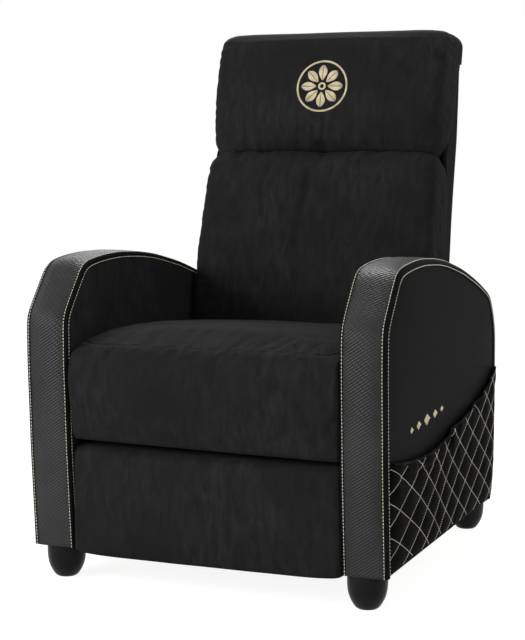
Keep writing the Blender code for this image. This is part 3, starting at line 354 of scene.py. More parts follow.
def sawn_pine():
    surface, tree, shader, place = new_surface("sawn_pine", {"Roughness": 0.72, "Specular IOR Level": 0.25})
    grain = add_node(tree, "ShaderNodeMapping", inputs={"Vector": place, "Scale": PINE_STRETCH}).outputs[0]
    rings = add_node(
        tree,
        "ShaderNodeTexWave",
        {"wave_type": "RINGS"},
        {"Vector": grain, "Scale": PINE_RING_SCALE, "Distortion": 6.0, "Detail": 3.0},
    )
    feed(tree, shader.inputs["Base Color"], blend_colours(tree, rings.outputs["Fac"], *PINE_TONES))
    saw = add_node(tree, "ShaderNodeTexNoise", inputs={"Vector": grain, "Scale": PINE_SAW_SCALE})
    raise_bump(tree, shader, saw.outputs["Fac"], *PINE_SAW_MARKS)
    return surface


def dress(slot_name, surface):
    """Gives every shown solid of one material slot its finished material."""
    for part in frame["record"]["subparts"]:
        if part["material_slot"] == slot_name:
            node = frame["nodes"][part["node"]]
            node.data.materials.clear()
            node.data.materials.append(surface)


dress("pine", sawn_pine())

# Steel frame and fasteners
# Pressed plates, links and square tubes in black stove enamel, with zinc-plated bolts and zigzag
# seat springs. The enamel is a little uneven and shows an orange-peel skin.
ENAMEL_TONES = ((0.010, 0.010, 0.011, 1), (0.022, 0.022, 0.024, 1))
ENAMEL_MOTTLE_SCALE = 18.0
ENAMEL_ROUGHNESS = (0.30, 0.48)
ENAMEL_PEEL_SCALE = 420.0
ENAMEL_PEEL = (0.12, 0.001)
ZINC_TONES = ((0.42, 0.43, 0.45, 1), (0.66, 0.67, 0.68, 1))
ZINC_MOTTLE_SCALE = 90.0
ZINC_ROUGHNESS = (0.26, 0.44)
ZINC_SPANGLE_SCALE = 700.0
ZINC_SPANGLE = (0.08, 0.001)


def black_enamel():
    surface, tree, shader, place = mottled_surface(
        "black_enamel",
        {"Metallic": 0.0, "Specular IOR Level": 0.5},
        ENAMEL_TONES,
        ENAMEL_MOTTLE_SCALE,
        ENAMEL_ROUGHNESS,
    )
    peel = add_node(tree, "ShaderNodeTexNoise", inputs={"Vector": place, "Scale": ENAMEL_PEEL_SCALE})
    raise_bump(tree, shader, peel.outputs["Fac"], *ENAMEL_PEEL)
    return surface


def bright_zinc():
    surface, tree, shader, place = mottled_surface(
        "bright_zinc", {"Metallic": 1.0}, ZINC_TONES, ZINC_MOTTLE_SCALE, ZINC_ROUGHNESS
    )
    spangle = add_node(tree, "ShaderNodeTexVoronoi", inputs={"Vector": place, "Scale": ZINC_SPANGLE_SCALE})
    raise_bump(tree, shader, spangle.outputs["Distance"], *ZINC_SPANGLE)
    return surface


dress("black_steel", black_enamel())
dress("zinc_steel", bright_zinc())

# Arm side covers
# The outer side is smooth black faux leather over thin foam, the inner side the short-nap fabric
# of the seat. Each is stapled round the arm's frame, and its edge runs under the binding.
OUTLINE_STEP = 0.006
OUTLINE_EASE = 10
COVER_DEPTH = 0.0070
COVER_RING_DISTANCES = (0.0, 0.002, 0.005, 0.010, 0.018, 0.030, 0.048)
COVER_RING_SHARES = (0.30, 0.45, 0.60, 0.75, 0.90)
COVER_PUFF = 0.0034
COVER_PUFF_REACH = 0.007
COVER_EDGE_DROP = 0.0026
COVER_FULL = 0.0042
COVER_FULL_REACH = 0.055
COVER_FULL_HEIGHTS = (0.26, 0.40)
COVER_WAVE = 0.0007
COVER_WAVE_SIZE = 0.13
COVER_SEEDS = {"outer": 3.0, "inner": 7.0}
VINYL_TONES = ((0.0070, 0.0070, 0.0074, 1), (0.0125, 0.0125, 0.0131, 1))
VINYL_MOTTLE_SCALE = 7.0
VINYL_ROUGHNESS = (0.42, 0.52)
VINYL_SHINE = 0.0035
VINYL_GRAIN_SCALE = 900.0
VINYL_GRAIN = (0.10, 0.0006)
SKIN_SCALE_SHARE = 0.35
SKIN_HEIGHT_SHARE = 0.6
NAP_TONES = ((0.0150, 0.0150, 0.0152, 1), (0.0300, 0.0298, 0.0302, 1))
NAP_MOTTLE_SCALE = 6.0
NAP_FIBRE_SCALE = 620.0
NAP_STREAK_SCALE = 75.0
NAP_STREAK_STRETCH = (1.0, 0.5, 0.30)
NAP_STREAK_HEIGHT = 0.5
NAP_RELIEF = (0.55, 0.0012)
NAP_SHEEN = 0.03
NAP_SHEEN_TINT = (0.75, 0.75, 0.80, 1)


def make_leather_grain():
    """The pebbled skin of faux leather: small cells with soft creases between them."""
    group, given, result = effect_group(
        "leather_grain", {"Vector": "Vector", "Scale": "Float"}, {"Height": "Float"}
    )
    cells = add_node(
        group,
        "ShaderNodeTexVoronoi",
        {"feature": "DISTANCE_TO_EDGE"},
        {"Vector": given["Vector"], "Scale": given["Scale"], "Randomness": 0.9},
    )
    crease = add_node(
        group, "ShaderNodeMapRange", inputs={"Value": cells.outputs["Distance"], "From Max": 0.22}
    )
    coarser = maths(group, "MULTIPLY", given["Scale"], SKIN_SCALE_SHARE)
    skin = add_node(
        group, "ShaderNodeTexNoise", inputs={"Vector": given["Vector"], "Scale": coarser, "Detail": 3.0}
    )
    fine = maths(group, "MULTIPLY", skin.outputs["Fac"], SKIN_HEIGHT_SHARE)
    feed(group, result["Height"], maths(group, "ADD", crease.outputs[0], fine))
    return group


def make_nap_pile():
    """Short pile: fine upright fibres, with soft streaks where the nap leans one way or the other."""
    group, given, result = effect_group(
        "nap_pile",
        {"Vector": "Vector", "Fibre Scale": "Float", "Streak Scale": "Float"},
        {"Height": "Float", "Streak": "Float"},
    )
    fibres = add_node(
        group,
        "ShaderNodeTexNoise",
        inputs={"Vector": given["Vector"], "Scale": given["Fibre Scale"], "Detail": 2.0, "Roughness": 0.7},
    )
    leaning = add_node(
        group, "ShaderNodeMapping", inputs={"Vector": given["Vector"], "Scale": NAP_STREAK_STRETCH}
    )
    streaks = add_node(
        group,
        "ShaderNodeTexNoise",
        inputs={
            "Vector": leaning.outputs[0],
            "Scale": given["Streak Scale"],
            "Detail": 6.0,
            "Roughness": 0.62,
            "Distortion": 0.4,
        },
    )
    spread = add_node(
        group,
        "ShaderNodeMapRange",
        inputs={"Value": streaks.outputs["Fac"], "From Min": 0.34, "From Max": 0.68},
    )
    raised = maths(group, "MULTIPLY", spread.outputs[0], NAP_STREAK_HEIGHT)
    feed(group, result["Height"], maths(group, "ADD", fibres.outputs["Fac"], raised))
    feed(group, result["Streak"], spread.outputs[0])
    return group


LEATHER_GRAIN = make_leather_grain()
NAP_PILE = make_nap_pile()


def faux_leather(name, shine, tones, mottle_scale, roughness, grain_scale, grain):
    surface, tree, shader, place = mottled_surface(
        name, {"Specular IOR Level": shine}, tones, mottle_scale, roughness
    )
    skin = use_group(tree, LEATHER_GRAIN, {"Vector": place, "Scale": grain_scale})
    raise_bump(tree, shader, skin["Height"], *grain)
    return surface


def nap_fabric():
    surface, tree, shader, place = new_surface(
        "nap_fabric",
        {
            "Roughness": 0.85,
            "Specular IOR Level": 0.02,
            "Sheen Weight": NAP_SHEEN,
            "Sheen Roughness": 0.35,
            "Sheen Tint": NAP_SHEEN_TINT,
        },
    )
    low, high = NAP_TONES
    pile_inputs = {"Vector": place, "Fibre Scale": NAP_FIBRE_SCALE, "Streak Scale": NAP_STREAK_SCALE}
    pile = use_group(tree, NAP_PILE, pile_inputs)
    cloud = use_group(tree, MOTTLE, {"Vector": place, "Low": low, "High": high, "Scale": NAP_MOTTLE_SCALE})
    feed(tree, shader.inputs["Base Color"], blend_colours(tree, pile["Streak"], low, cloud["Color"]))
    raise_bump(tree, shader, pile["Height"], *NAP_RELIEF)
    return surface


def lengths_along(path):
    """The length of a path up to each of its points."""
    return np.concatenate([[0], np.cumsum(np.linalg.norm(np.diff(path, axis=0), axis=1))])


def values_at(places, known_places, known_values):
    """Rows of values at these places, between the places where they are known."""
    return np.column_stack([np.interp(places, known_places, column) for column in known_values.T])


def even_path(points, step, passes):
    """A path in even steps along these points, its corners eased by averaging neighbours."""
    path = np.array(points, float)
    lengths = lengths_along(path)
    places = np.linspace(0, lengths[-1], max(3, round(lengths[-1] / step)) + 1)
    path = values_at(places, lengths, path)
    for _ in range(passes):
        path[1:-1] = (path[:-2] + 2 * path[1:-1] + path[2:]) / 4
    return path


def outward(path):
    """The outward directions of a side view's outline that runs from the front over the top."""
    along = np.gradient(path, axis=0)
    along /= np.linalg.norm(along, axis=1)[:, None]
    return np.column_stack([-along[:, 1], along[:, 0]])


def arm_outline():
    """The arm's side view in the frame, from its front bottom corner over the top to the rear."""
    node = frame["nodes"]["left_arm_inner_cover"]
    spots = sorted({(round(vert.co.y, 5), round(vert.co.z, 5)) for vert in node.data.vertices})
    ring = [spots[index] for index in convex_hull_2d([Vector(spot) for spot in spots])]
    turning = sum(a[0] * b[1] - b[0] * a[1] for a, b in zip(ring, ring[1:] + ring[:1]))
    if turning > 0:
        ring.reverse()
    lowest = min(height for _, height in ring)
    start = min((spot for spot in ring if spot[1] < lowest + OUTLINE_STEP / 4), key=lambda spot: spot[0])
    first = ring.index(start)
    return even_path(ring[first:] + ring[:first], OUTLINE_STEP, OUTLINE_EASE)


ARM_PATH = arm_outline()
ARM_OUT = outward(ARM_PATH)
ARM_INNER_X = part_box("left_arm_inner_cover")[0][0]
ARM_OUTER_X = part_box("left_arm_outer_cover")[1][0]
VINYL = faux_leather(
    "smooth_vinyl",
    VINYL_SHINE,
    VINYL_TONES,
    VINYL_MOTTLE_SCALE,
    VINYL_ROUGHNESS,
    VINYL_GRAIN_SCALE,
    VINYL_GRAIN,
)
NAP = nap_fabric()
ARM_SIDES = (("left", 1), ("right", -1))
COVER_EDGES = (("outer", ARM_OUTER_X, 1), ("inner", ARM_INNER_X, -1))
COVER_SURFACES = (("smooth_vinyl", VINYL), ("nap_fabric", NAP))


def cloth_wave(spot, size, amplitude, seed):
    """A slow, seeded rise and fall, as foam and cloth settle unevenly."""
    place = Vector(spot) / size + Vector((seed, seed * 2, -seed))
    return amplitude * noise.noise(place)


def hump(distance, width):
    """1 at no distance, and nearly nothing at more than twice this width."""
    return math.exp(-((distance / width) ** 2))


def outer_fullness(z):
    """How much the outer side's foam is fuller at this height."""
    return COVER_FULL * float(np.interp(z, COVER_FULL_HEIGHTS, (0, 1)))


def side_cover(side, cover_name, face_x, towards):
    """The points and faces of a padded cover: rings from its edge in to its middle, and a flat back."""
    seed = COVER_SEEDS[cover_name]
    bottom = np.linspace(ARM_PATH[-1], ARM_PATH[0], round(np.ptp(ARM_PATH[:, 0]) / OUTLINE_STEP))[1:-1]
    edge = np.vstack([ARM_PATH, bottom])
    middle = (edge.max(axis=0) + edge.min(axis=0)) / 2
    reach = np.linalg.norm(edge - middle, axis=1)
    rings = [edge + (middle - edge) * (distance / reach)[:, None] for distance in COVER_RING_DISTANCES]
    rings += [edge + (middle - edge) * share for share in COVER_RING_SHARES]
    distances = list(COVER_RING_DISTANCES) + [reach.min() * share for share in COVER_RING_SHARES]
    points = []
    for back_ring in (rings[3], rings[0]):
        points += [(side * (face_x - towards * COVER_DEPTH), *spot) for spot in back_ring]
    for ring, distance in zip(rings, distances):
        lift = COVER_PUFF * (1 - math.exp(-distance / COVER_PUFF_REACH)) - COVER_EDGE_DROP
        for y, z in ring:
            wave = cloth_wave((seed, y, z), COVER_WAVE_SIZE, COVER_WAVE, seed) if distance else 0
            full = outer_fullness(z) * (1 - hump(distance, COVER_FULL_REACH)) * (towards > 0)
            points.append((side * (face_x + towards * (lift + wave + full)), y, z))
    return points, ring_faces(len(rings) + 2, len(edge))


for side_name, side in ARM_SIDES:
    for (cover_name, face_x, towards), (slot_name, surface) in zip(COVER_EDGES, COVER_SURFACES):
        points, faces = side_cover(side, cover_name, face_x, towards)
        cover = link_piece(f"{side_name}_{cover_name}_side", points, faces, surface, "base")
        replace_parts(cover, f"{side_name}_arm_{cover_name}_cover")

# Arm strip, bindings and their gold stitching
# A long panel of ribbed carbon-look faux leather is wrapped over soft foam, up the arm's front,
# over its top and down its rear. A smooth binding on each edge is topstitched twice in gold.
STRIP_CROWN_PLACES = (0.0, 0.36, 0.48, 1.0)
STRIP_CROWNS = (0.0075, 0.0075, 0.0045, 0.0045)
STRIP_CROWN_POWER = 2.6
STRIP_END_EASE = 0.05
STRIP_END_SHARE = 0.45
STRIP_STEPS = 22
STRIP_SKIN = 0.004
BAND_FACE = 0.0058
BAND_OVERLAP = 0.0025
BAND_TURNS = {"outer": 0.0100, "inner": 0.0085}
BAND_RISE = 0.0012
BAND_BULGES = {"outer": 0.0034, "inner": 0.0014}
BAND_SHAPE = (
    (-0.20, 0.040), (-0.62, 0.180), (-1.00, 0.400), (-1.00, 0.640), (-0.80, 0.850),
    (-0.30, 1.000), (0.60, 1.000), (0.90, 0.600), (0.90, 0.250),
)
BAND_FACE_SHARES = (1.0, 0.9, 0.6, 0.25)
FACE_ROW_SHARE = 0.76
SIDE_ROW_SHARE = 0.85
GOLD_TONES = ((0.70, 0.62, 0.44, 1), (0.95, 0.91, 0.78, 1))
GOLD_ROUGHNESS = (0.42, 0.57)
THREAD_MOTTLE_SCALE = 60.0
THREAD_TWIST_SCALE = 900.0
THREAD_TWIST = (0.5, 0.0003)
THREAD_RADIUS = 0.00072
STITCH_PITCH = 0.0062
STITCH_LENGTH = 0.0045
STITCH_SIDES = 5
STITCH_LIFT_SHARES = (-0.8, 0.35, 0.6, 0.35, -0.8)
# The low tone is also painted shade, laid in the grooves between the ribs.
CARBON_TONES_GROOVE_SHADED = ((0.0025, 0.0025, 0.0026, 1), (0.025, 0.0254, 0.0266, 1))
CARBON_MOTTLE_SCALE = 9.0
CARBON_ROUGHNESS = (0.29, 0.42)
CARBON_SHINE = 0.26
CARBON_RELIEF = (0.90, 0.0011)
RIB_PITCH = 0.0058
RIB_ROUNDNESS = 0.6
TOWS_PER_PITCH = 1.5
TOW_ROUNDNESS = 0.25
RIB_ANGLE = math.radians(33)


def make_rib_weave():
    """Diagonal ribs cut into short tows, as embossed carbon-look faux leather shows; its mask paints shade
    in the grooves.
    """
    group, given, result = effect_group(
        "rib_weave",
        {"Vector": "Vector", "Pitch": "Float", "Angle": "Float"},
        {"Height": "Float", "Mask": "Float"},
    )
    parts = add_node(group, "ShaderNodeSeparateXYZ", inputs={0: given["Vector"]})
    across = maths(group, "DIVIDE", parts.outputs[0], given["Pitch"])
    along = maths(group, "DIVIDE", parts.outputs[1], given["Pitch"])
    slope = maths(group, "TANGENT", given["Angle"])
    rib = maths(group, "SUBTRACT", along, maths(group, "MULTIPLY", across, slope))
    tows = maths(group, "MULTIPLY", across, TOWS_PER_PITCH)
    tow = maths(group, "ADD", tows, maths(group, "FLOOR", rib))
    wave = maths(group, "ABSOLUTE", maths(group, "SINE", maths(group, "MULTIPLY", rib, math.pi)))
    notch = maths(group, "ABSOLUTE", maths(group, "SINE", maths(group, "MULTIPLY", tow, math.pi / 2)))
    ridge = maths(group, "POWER", wave, RIB_ROUNDNESS)
    cut = maths(group, "POWER", notch, TOW_ROUNDNESS)
    feed(group, result["Height"], maths(group, "MULTIPLY", ridge, cut))
    # The ridge mask also sets the strip's colour, so the grooves between the ribs get painted shade.
    feed(group, result["Mask"], ridge)
    return group


RIB_WEAVE = make_rib_weave()


def carbon_vinyl():
    surface, tree, shader, place = new_surface("carbon_vinyl", {"Specular IOR Level": CARBON_SHINE})
    low, high = CARBON_TONES_GROOVE_SHADED
    cloth = place.node.outputs["UV"]
    ribs = use_group(tree, RIB_WEAVE, {"Vector": cloth, "Pitch": RIB_PITCH, "Angle": RIB_ANGLE})
    mottle_inputs = {"Vector": place, "Low": low, "High": high, "Scale": CARBON_MOTTLE_SCALE}
    cloud = use_group(tree, MOTTLE, mottle_inputs)
    # The ribs' grooves take the dark tone and their ridges the mottled lighter one: painted shade in the
    # grooves.
    feed(tree, shader.inputs["Base Color"], blend_colours(tree, ribs["Mask"], low, cloud["Color"]))
    spread_roughness(tree, shader, cloud["Mask"], CARBON_ROUGHNESS)
    raise_bump(tree, shader, ribs["Height"], *CARBON_RELIEF)
    return surface


def sewing_thread(name, tones, roughness):
    """Twisted polyester thread: two tones in soft mottles, with the diagonal relief of its twist."""
    surface, tree, shader, place = mottled_surface(
        name, {"Specular IOR Level": 0.35}, tones, THREAD_MOTTLE_SCALE, roughness
    )
    twist = add_node(
        tree,
        "ShaderNodeTexWave",
        {"bands_direction": "DIAGONAL"},
        {"Vector": place, "Scale": THREAD_TWIST_SCALE},
    )
    raise_bump(tree, shader, twist.outputs["Fac"], *THREAD_TWIST)
    return surface


GOLD_THREAD = sewing_thread("gold_thread", GOLD_TONES, GOLD_ROUGHNESS)
CARBON = carbon_vinyl()
STRIP_SPAN = ARM_OUTER_X - ARM_INNER_X
STRIP_MIDDLE = (ARM_OUTER_X + ARM_INNER_X) / 2
PATH_LENGTHS = lengths_along(ARM_PATH)


def end_ease(place):
    """How much of the crown is left at a place along the strip: less near its two ends."""
    from_end = min(place, PATH_LENGTHS[-1] - place)
    return 1 - (1 - STRIP_END_SHARE) * hump(from_end, STRIP_END_EASE)


def strip_crown(x, place):
    """How far the foam lifts the strip off the arm's outline at x."""
    share = abs(2 * (x - STRIP_MIDDLE) / STRIP_SPAN)
    full = float(np.interp(place / PATH_LENGTHS[-1], STRIP_CROWN_PLACES, STRIP_CROWNS))
    return full * end_ease(place) * (1 - min(share, 1) ** STRIP_CROWN_POWER)


def on_strip(side, station, x, lift):
    """The point at x and this far outside the arm's outline, at one station of the outline."""
    y, z = ARM_PATH[station] + ARM_OUT[station] * lift
    return (side * x, y, z)


def make_strip(side_name, side):
    low, high = ARM_INNER_X + BAND_OVERLAP, ARM_OUTER_X - BAND_OVERLAP
    places_across = np.linspace(low, high, STRIP_STEPS)
    points, cloth = [], []
    for station, place in enumerate(PATH_LENGTHS):
        for x in places_across:
            points.append(on_strip(side, station, x, strip_crown(x, place)))
            cloth.append((side * x, place))
        for x in places_across[::-1]:
            points.append(on_strip(side, station, x, strip_crown(x, place) - STRIP_SKIN))
            cloth.append((side * x, place))
    faces = ring_faces(len(PATH_LENGTHS), 2 * STRIP_STEPS)
    return link_piece(
        f"{side_name}_strip_panel", points, faces, CARBON, "base", place_on_cloth=cloth
    )


def binding_section(place, edge_name):
    """The folded binding at one edge: distance in from the side, and height over the outline."""
    section = []
    for share in BAND_FACE_SHARES:
        distance = share * BAND_FACE
        section.append((distance, strip_crown(ARM_OUTER_X - distance, place) + BAND_RISE))
    bulge, turn = BAND_BULGES[edge_name], BAND_TURNS[edge_name]
    section += [(bulge * across, -turn * down) for across, down in BAND_SHAPE]
    section.append((BAND_FACE, strip_crown(ARM_OUTER_X - BAND_FACE, place) - BAND_RISE))
    return section


def make_binding(side_name, side, edge_name, edge_x, towards):
    points = []
    for station, place in enumerate(PATH_LENGTHS):
        section = binding_section(place, edge_name)
        points += [on_strip(side, station, edge_x - towards * distance, lift) for distance, lift in section]
    faces = ring_faces(len(PATH_LENGTHS), len(section))
    return link_piece(f"{side_name}_{edge_name}_binding", points, faces, VINYL, "base")


def thread_tubes(name, centres, ups, besides, radius, surface, body):
    """A piece made of many short threads, each a row of centres with the directions round them."""
    turns = math.tau * np.arange(STITCH_SIDES)[:, None] / STITCH_SIDES
    ring = np.cos(turns) * ups[:, :, None, :] + np.sin(turns) * besides[:, :, None, :]
    points = (centres[:, :, None, :] + radius * ring).reshape(-1, 3)
    stations = centres.shape[1]
    block = stations * STITCH_SIDES
    one = ring_faces(stations, STITCH_SIDES)
    faces = [
        tuple(number * block + corner for corner in face) for number in range(len(centres)) for face in one
    ]
    return link_piece(name, points, faces, surface, body)


def stitch_row(name, path, normals, surface, body, radius=THREAD_RADIUS):
    """A row of short stitches along a path: each is a thread that dives into the cover at both ends."""
    path = np.asarray(path, float)
    reached = lengths_along(path)
    starts = np.arange(0, reached[-1] - STITCH_LENGTH, STITCH_PITCH)
    shape = (len(starts), len(STITCH_LIFT_SHARES), 3)
    spots = (starts[:, None] + np.linspace(0, STITCH_LENGTH, len(STITCH_LIFT_SHARES))[None, :]).ravel()
    up = values_at(spots, reached, np.asarray(normals, float))
    up /= np.linalg.norm(up, axis=1)[:, None]
    along = values_at(spots + radius, reached, path) - values_at(spots - radius, reached, path)
    along /= np.linalg.norm(along, axis=1)[:, None]
    lifts = np.tile(STITCH_LIFT_SHARES, len(starts)) * radius
    centre = values_at(spots, reached, path) + up * lifts[:, None]
    beside = np.cross(along, up)
    return thread_tubes(
        name, centre.reshape(shape), up.reshape(shape), beside.reshape(shape), radius, surface, body
    )


def stitch_binding(side_name, side, edge_name, edge_x, towards):
    """The two gold rows of one binding: one on the strip's face, one on the arm's side."""
    across = np.array((side * towards, 0.0, 0.0))
    face_row, side_row, face_up, side_up = [], [], [], []
    inward = BAND_FACE * FACE_ROW_SHARE
    beyond = BAND_BULGES[edge_name] * SIDE_ROW_SHARE
    below = -BAND_TURNS[edge_name] * SIDE_ROW_SHARE
    for station, place in enumerate(PATH_LENGTHS):
        lift = strip_crown(ARM_OUTER_X - inward, place) + BAND_RISE
        face_row.append(on_strip(side, station, edge_x - towards * inward, lift))
        side_row.append(on_strip(side, station, edge_x + towards * beyond, below))
        face_up.append((0.0, *ARM_OUT[station]))
        side_up.append(across)
    stitch_row(f"{side_name}_{edge_name}_face_stitches", face_row, face_up, GOLD_THREAD, "base")
    stitch_row(f"{side_name}_{edge_name}_side_stitches", side_row, side_up, GOLD_THREAD, "base")


for side_name, side in ARM_SIDES:
    strip = make_strip(side_name, side)
    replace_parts(strip, f"{side_name}_arm_strip")
    for edge in COVER_EDGES:
        make_binding(side_name, side, *edge)
        stitch_binding(side_name, side, *edge)

# Side pockets
# A flat bag of thin padded faux leather, quilted in gold diamonds and sewn to the arm's side along
# its front, bottom and rear. Its hemmed mouth stands off the side, so that a hand fits in.
FRONT_PLANE = -0.380
POCKET_COLUMNS = 300
POCKET_ROWS = 96
POCKET_SKIN = 0.0028
POCKET_SEAM_LIFT = 0.0012
POCKET_STAND = 0.0040
POCKET_MOUTH_STAND = 0.0042
POCKET_SEAM_REACH = 0.016
POCKET_MOUTH_REACH = 0.050
POCKET_TOP_SHARE = 0.45
POCKET_DEEPEST = 0.0010
QUILT_HEIGHT = 0.060
QUILT_LEVEL = 0.176
QUILT_PUFF = 0.0042
QUILT_ROUNDNESS = 0.8
QUILT_LINE_LIFT = 0.0004
QUILT_FIRST_CROSSING = -1
QUILT_CROSSING_DEPTHS = (
    -0.012, 0.059, 0.122, 0.182, 0.230, 0.276, 0.316, 0.354,
    0.399, 0.446, 0.498, 0.548, 0.604, 0.655, 0.702, 0.746,
)
QUILT_SEAM_SHARE = 0.35
QUILT_LINE_STEP = 0.004
QUILT_THREAD_RADIUS = 0.00058
QUILT_SEAM_MARGIN = 0.004
FOLD_DROP = 0.023
FOLD_DEEP = 0.0018
FOLD_WIDTH = 0.0035
PLEAT_DEPTH = 0.380
PLEAT_DEEP = 0.0030
PLEAT_WIDTH = 0.0045
GATHER_WAVE = 0.0022
GATHER_SIZE = 0.027
GATHER_STRETCH = 0.3
GATHER_SEED = 5.0
POCKET_FRONT_POWER = 3
HEM_RADIUS = 0.0024
HEM_SIDES = 10
QUILT_TONES = ((0.0018, 0.0017, 0.0016, 1), (0.0052, 0.0050, 0.0047, 1))
QUILT_MOTTLE_SCALE = 14.0
QUILT_ROUGHNESS = (0.46, 0.60)
QUILT_SHINE = 0.003
QUILT_GRAIN_SCALE = 780.0
QUILT_GRAIN = (0.16, 0.0006)


def pocket_lines():
    """The pocket's mouth and bottom edge in the frame, each as points of rising y."""
    corners = [vert.co for vert in frame["nodes"]["left_side_pocket"].data.vertices]
    face = max(corner.x for corner in corners) - POCKET_DEEPEST
    spots = sorted({(round(corner.y, 5), round(corner.z, 5)) for corner in corners if corner.x > face})
    heights = [z for _, z in spots]
    level = min(heights) + POCKET_TOP_SHARE * (max(heights) - min(heights))
    mouth = np.array([spot for spot in spots if spot[1] > level])
    bottom = np.array([spot for spot in spots if spot[1] <= level])
    return mouth, bottom


MOUTH_LINE, BOTTOM_LINE = pocket_lines()
MOUTH_LINE = even_path(MOUTH_LINE, OUTLINE_STEP, OUTLINE_EASE)
POCKET_REAR = MOUTH_LINE[:, 0].max()
MOUTH_PLACES = np.linspace(MOUTH_LINE[:, 0].min(), POCKET_REAR, POCKET_COLUMNS)
MOUTH_HEIGHTS = np.interp(MOUTH_PLACES, MOUTH_LINE[:, 0], MOUTH_LINE[:, 1])
QUILT_NUMBERS = QUILT_FIRST_CROSSING + np.arange(len(QUILT_CROSSING_DEPTHS))
FRONT_EDGE = ARM_PATH[: int(np.argmax(ARM_PATH[:, 1])) + 1]


def mouth_at(y):
    return np.interp(y, MOUTH_PLACES, MOUTH_HEIGHTS)


def bottom_at(y):
    return np.interp(y, BOTTOM_LINE[:, 0], BOTTOM_LINE[:, 1])


def pocket_front(z):
    """Where the pocket meets the binding along the arm's front edge."""
    return np.interp(z, FRONT_EDGE[:, 1], FRONT_EDGE[:, 0]) + BAND_TURNS["outer"]


def quilt_puff(y, z):
    """The height of the quilted diamonds, which is nothing along their stitched lines."""
    number = np.interp(y - FRONT_PLANE, QUILT_CROSSING_DEPTHS, QUILT_NUMBERS)
    level = (z - QUILT_LEVEL) / QUILT_HEIGHT
    rising = np.abs(np.sin(math.pi * (number / 2 + level)))
    falling = np.abs(np.sin(math.pi * (number / 2 - level)))
    return QUILT_PUFF * (rising * falling) ** QUILT_ROUNDNESS


def pocket_face(y, z, puffed=True):
    """How far out the pocket's outer face stands at a point of the side view."""
    seam = 1.0
    for gap in (y - pocket_front(z), POCKET_REAR - y, z - bottom_at(y)):
        seam *= 1 - math.exp(-max(gap, 0) / POCKET_SEAM_REACH)
    below = max(mouth_at(y) - z, 0)
    loose = hump(below, POCKET_MOUTH_REACH)
    lift = POCKET_SEAM_LIFT + (POCKET_STAND + POCKET_MOUTH_STAND * loose) * seam
    fold = FOLD_DEEP * hump(below - FOLD_DROP, FOLD_WIDTH) * (y - FRONT_PLANE < PLEAT_DEPTH)
    pleat = PLEAT_DEEP * hump(y - FRONT_PLANE - PLEAT_DEPTH, PLEAT_WIDTH) * loose
    gather = cloth_wave((0.0, y, z * GATHER_STRETCH), GATHER_SIZE, GATHER_WAVE, GATHER_SEED) * loose
    lift += (gather - fold - pleat) * seam
    if puffed:
        lift += quilt_puff(y, z) * (QUILT_SEAM_SHARE + (1 - QUILT_SEAM_SHARE) * seam)
    return ARM_OUTER_X + float(lift)


def pocket_spot(column_share, row_share):
    """The side-view point of the pocket at these shares of its length and height."""
    flat_front = MOUTH_PLACES[0]
    y = flat_front + (POCKET_REAR - flat_front) * column_share
    z = bottom_at(y) + (mouth_at(y) - bottom_at(y)) * row_share
    return y + (pocket_front(z) - flat_front) * (1 - column_share) ** POCKET_FRONT_POWER, z


QUILTED = faux_leather(
    "quilted_vinyl",
    QUILT_SHINE,
    QUILT_TONES,
    QUILT_MOTTLE_SCALE,
    QUILT_ROUGHNESS,
    QUILT_GRAIN_SCALE,
    QUILT_GRAIN,
)


def make_pocket(side_name, side):
    shares = np.linspace(0, 1, POCKET_COLUMNS)
    rows = np.linspace(0, 1, POCKET_ROWS)
    spots = [pocket_spot(column, row) for column in shares for row in rows]
    faced = [pocket_face(y, z) for y, z in spots]
    outer = [(side * x, y, z) for x, (y, z) in zip(faced, spots)]
    inner = [(side * (x - POCKET_SKIN), y, z) for x, (y, z) in zip(faced, spots)]
    points = outer + inner
    total = len(outer)
    faces = []
    for column in range(POCKET_COLUMNS - 1):
        for row in range(POCKET_ROWS - 1):
            here = column * POCKET_ROWS + row
            over = here + POCKET_ROWS
            faces.append((here, over, over + 1, here + 1))
            faces.append((here + total, here + 1 + total, over + 1 + total, over + total))
    rim = [column * POCKET_ROWS for column in range(POCKET_COLUMNS)]
    rim += [(POCKET_COLUMNS - 1) * POCKET_ROWS + row for row in range(1, POCKET_ROWS)]
    rim += [column * POCKET_ROWS + POCKET_ROWS - 1 for column in range(POCKET_COLUMNS - 2, -1, -1)]
    rim += list(range(POCKET_ROWS - 2, 0, -1))
    for first, second in zip(rim, rim[1:] + rim[:1]):
        faces.append((first, second, second + total, first + total))
    return link_piece(f"{side_name}_quilted_pocket", points, faces, QUILTED, "base")


def make_hem(side_name, side):
    """The rolled hem along the pocket's mouth."""
    points = []
    for y, z in zip(MOUTH_PLACES, MOUTH_HEIGHTS):
        middle = pocket_face(y, z) - POCKET_SKIN / 2
        for turn in range(HEM_SIDES):
            angle = math.tau * turn / HEM_SIDES
            out = middle + HEM_RADIUS * math.cos(angle)
            points.append((side * out, y, z + HEM_RADIUS * math.sin(angle)))
    faces = ring_faces(len(MOUTH_PLACES), HEM_SIDES)
    return link_piece(f"{side_name}_pocket_hem", points, faces, VINYL, "base")


def quilt_lines(side):
    """The stitched lines of the quilting that lie on the pocket, each as a list of points."""
    lines = []
    places = np.arange(MOUTH_PLACES[0] - BAND_TURNS["outer"], POCKET_REAR, QUILT_LINE_STEP)
    numbers = np.interp(places - FRONT_PLANE, QUILT_CROSSING_DEPTHS, QUILT_NUMBERS)
    reach = len(QUILT_CROSSING_DEPTHS)
    for rises in (1, -1):
        for count in range(-reach, reach):
            heights = QUILT_LEVEL + QUILT_HEIGHT * (count + rises * numbers / 2)
            line = []
            for y, z in zip(places, heights):
                clear = min(z - bottom_at(y), mouth_at(y) - z, y - pocket_front(z), POCKET_REAR - y)
                if clear > QUILT_SEAM_MARGIN / 2:
                    line.append((side * (pocket_face(y, z, puffed=False) + QUILT_LINE_LIFT), y, z))
            if len(line) > 2:
                lines.append(line)
    return lines


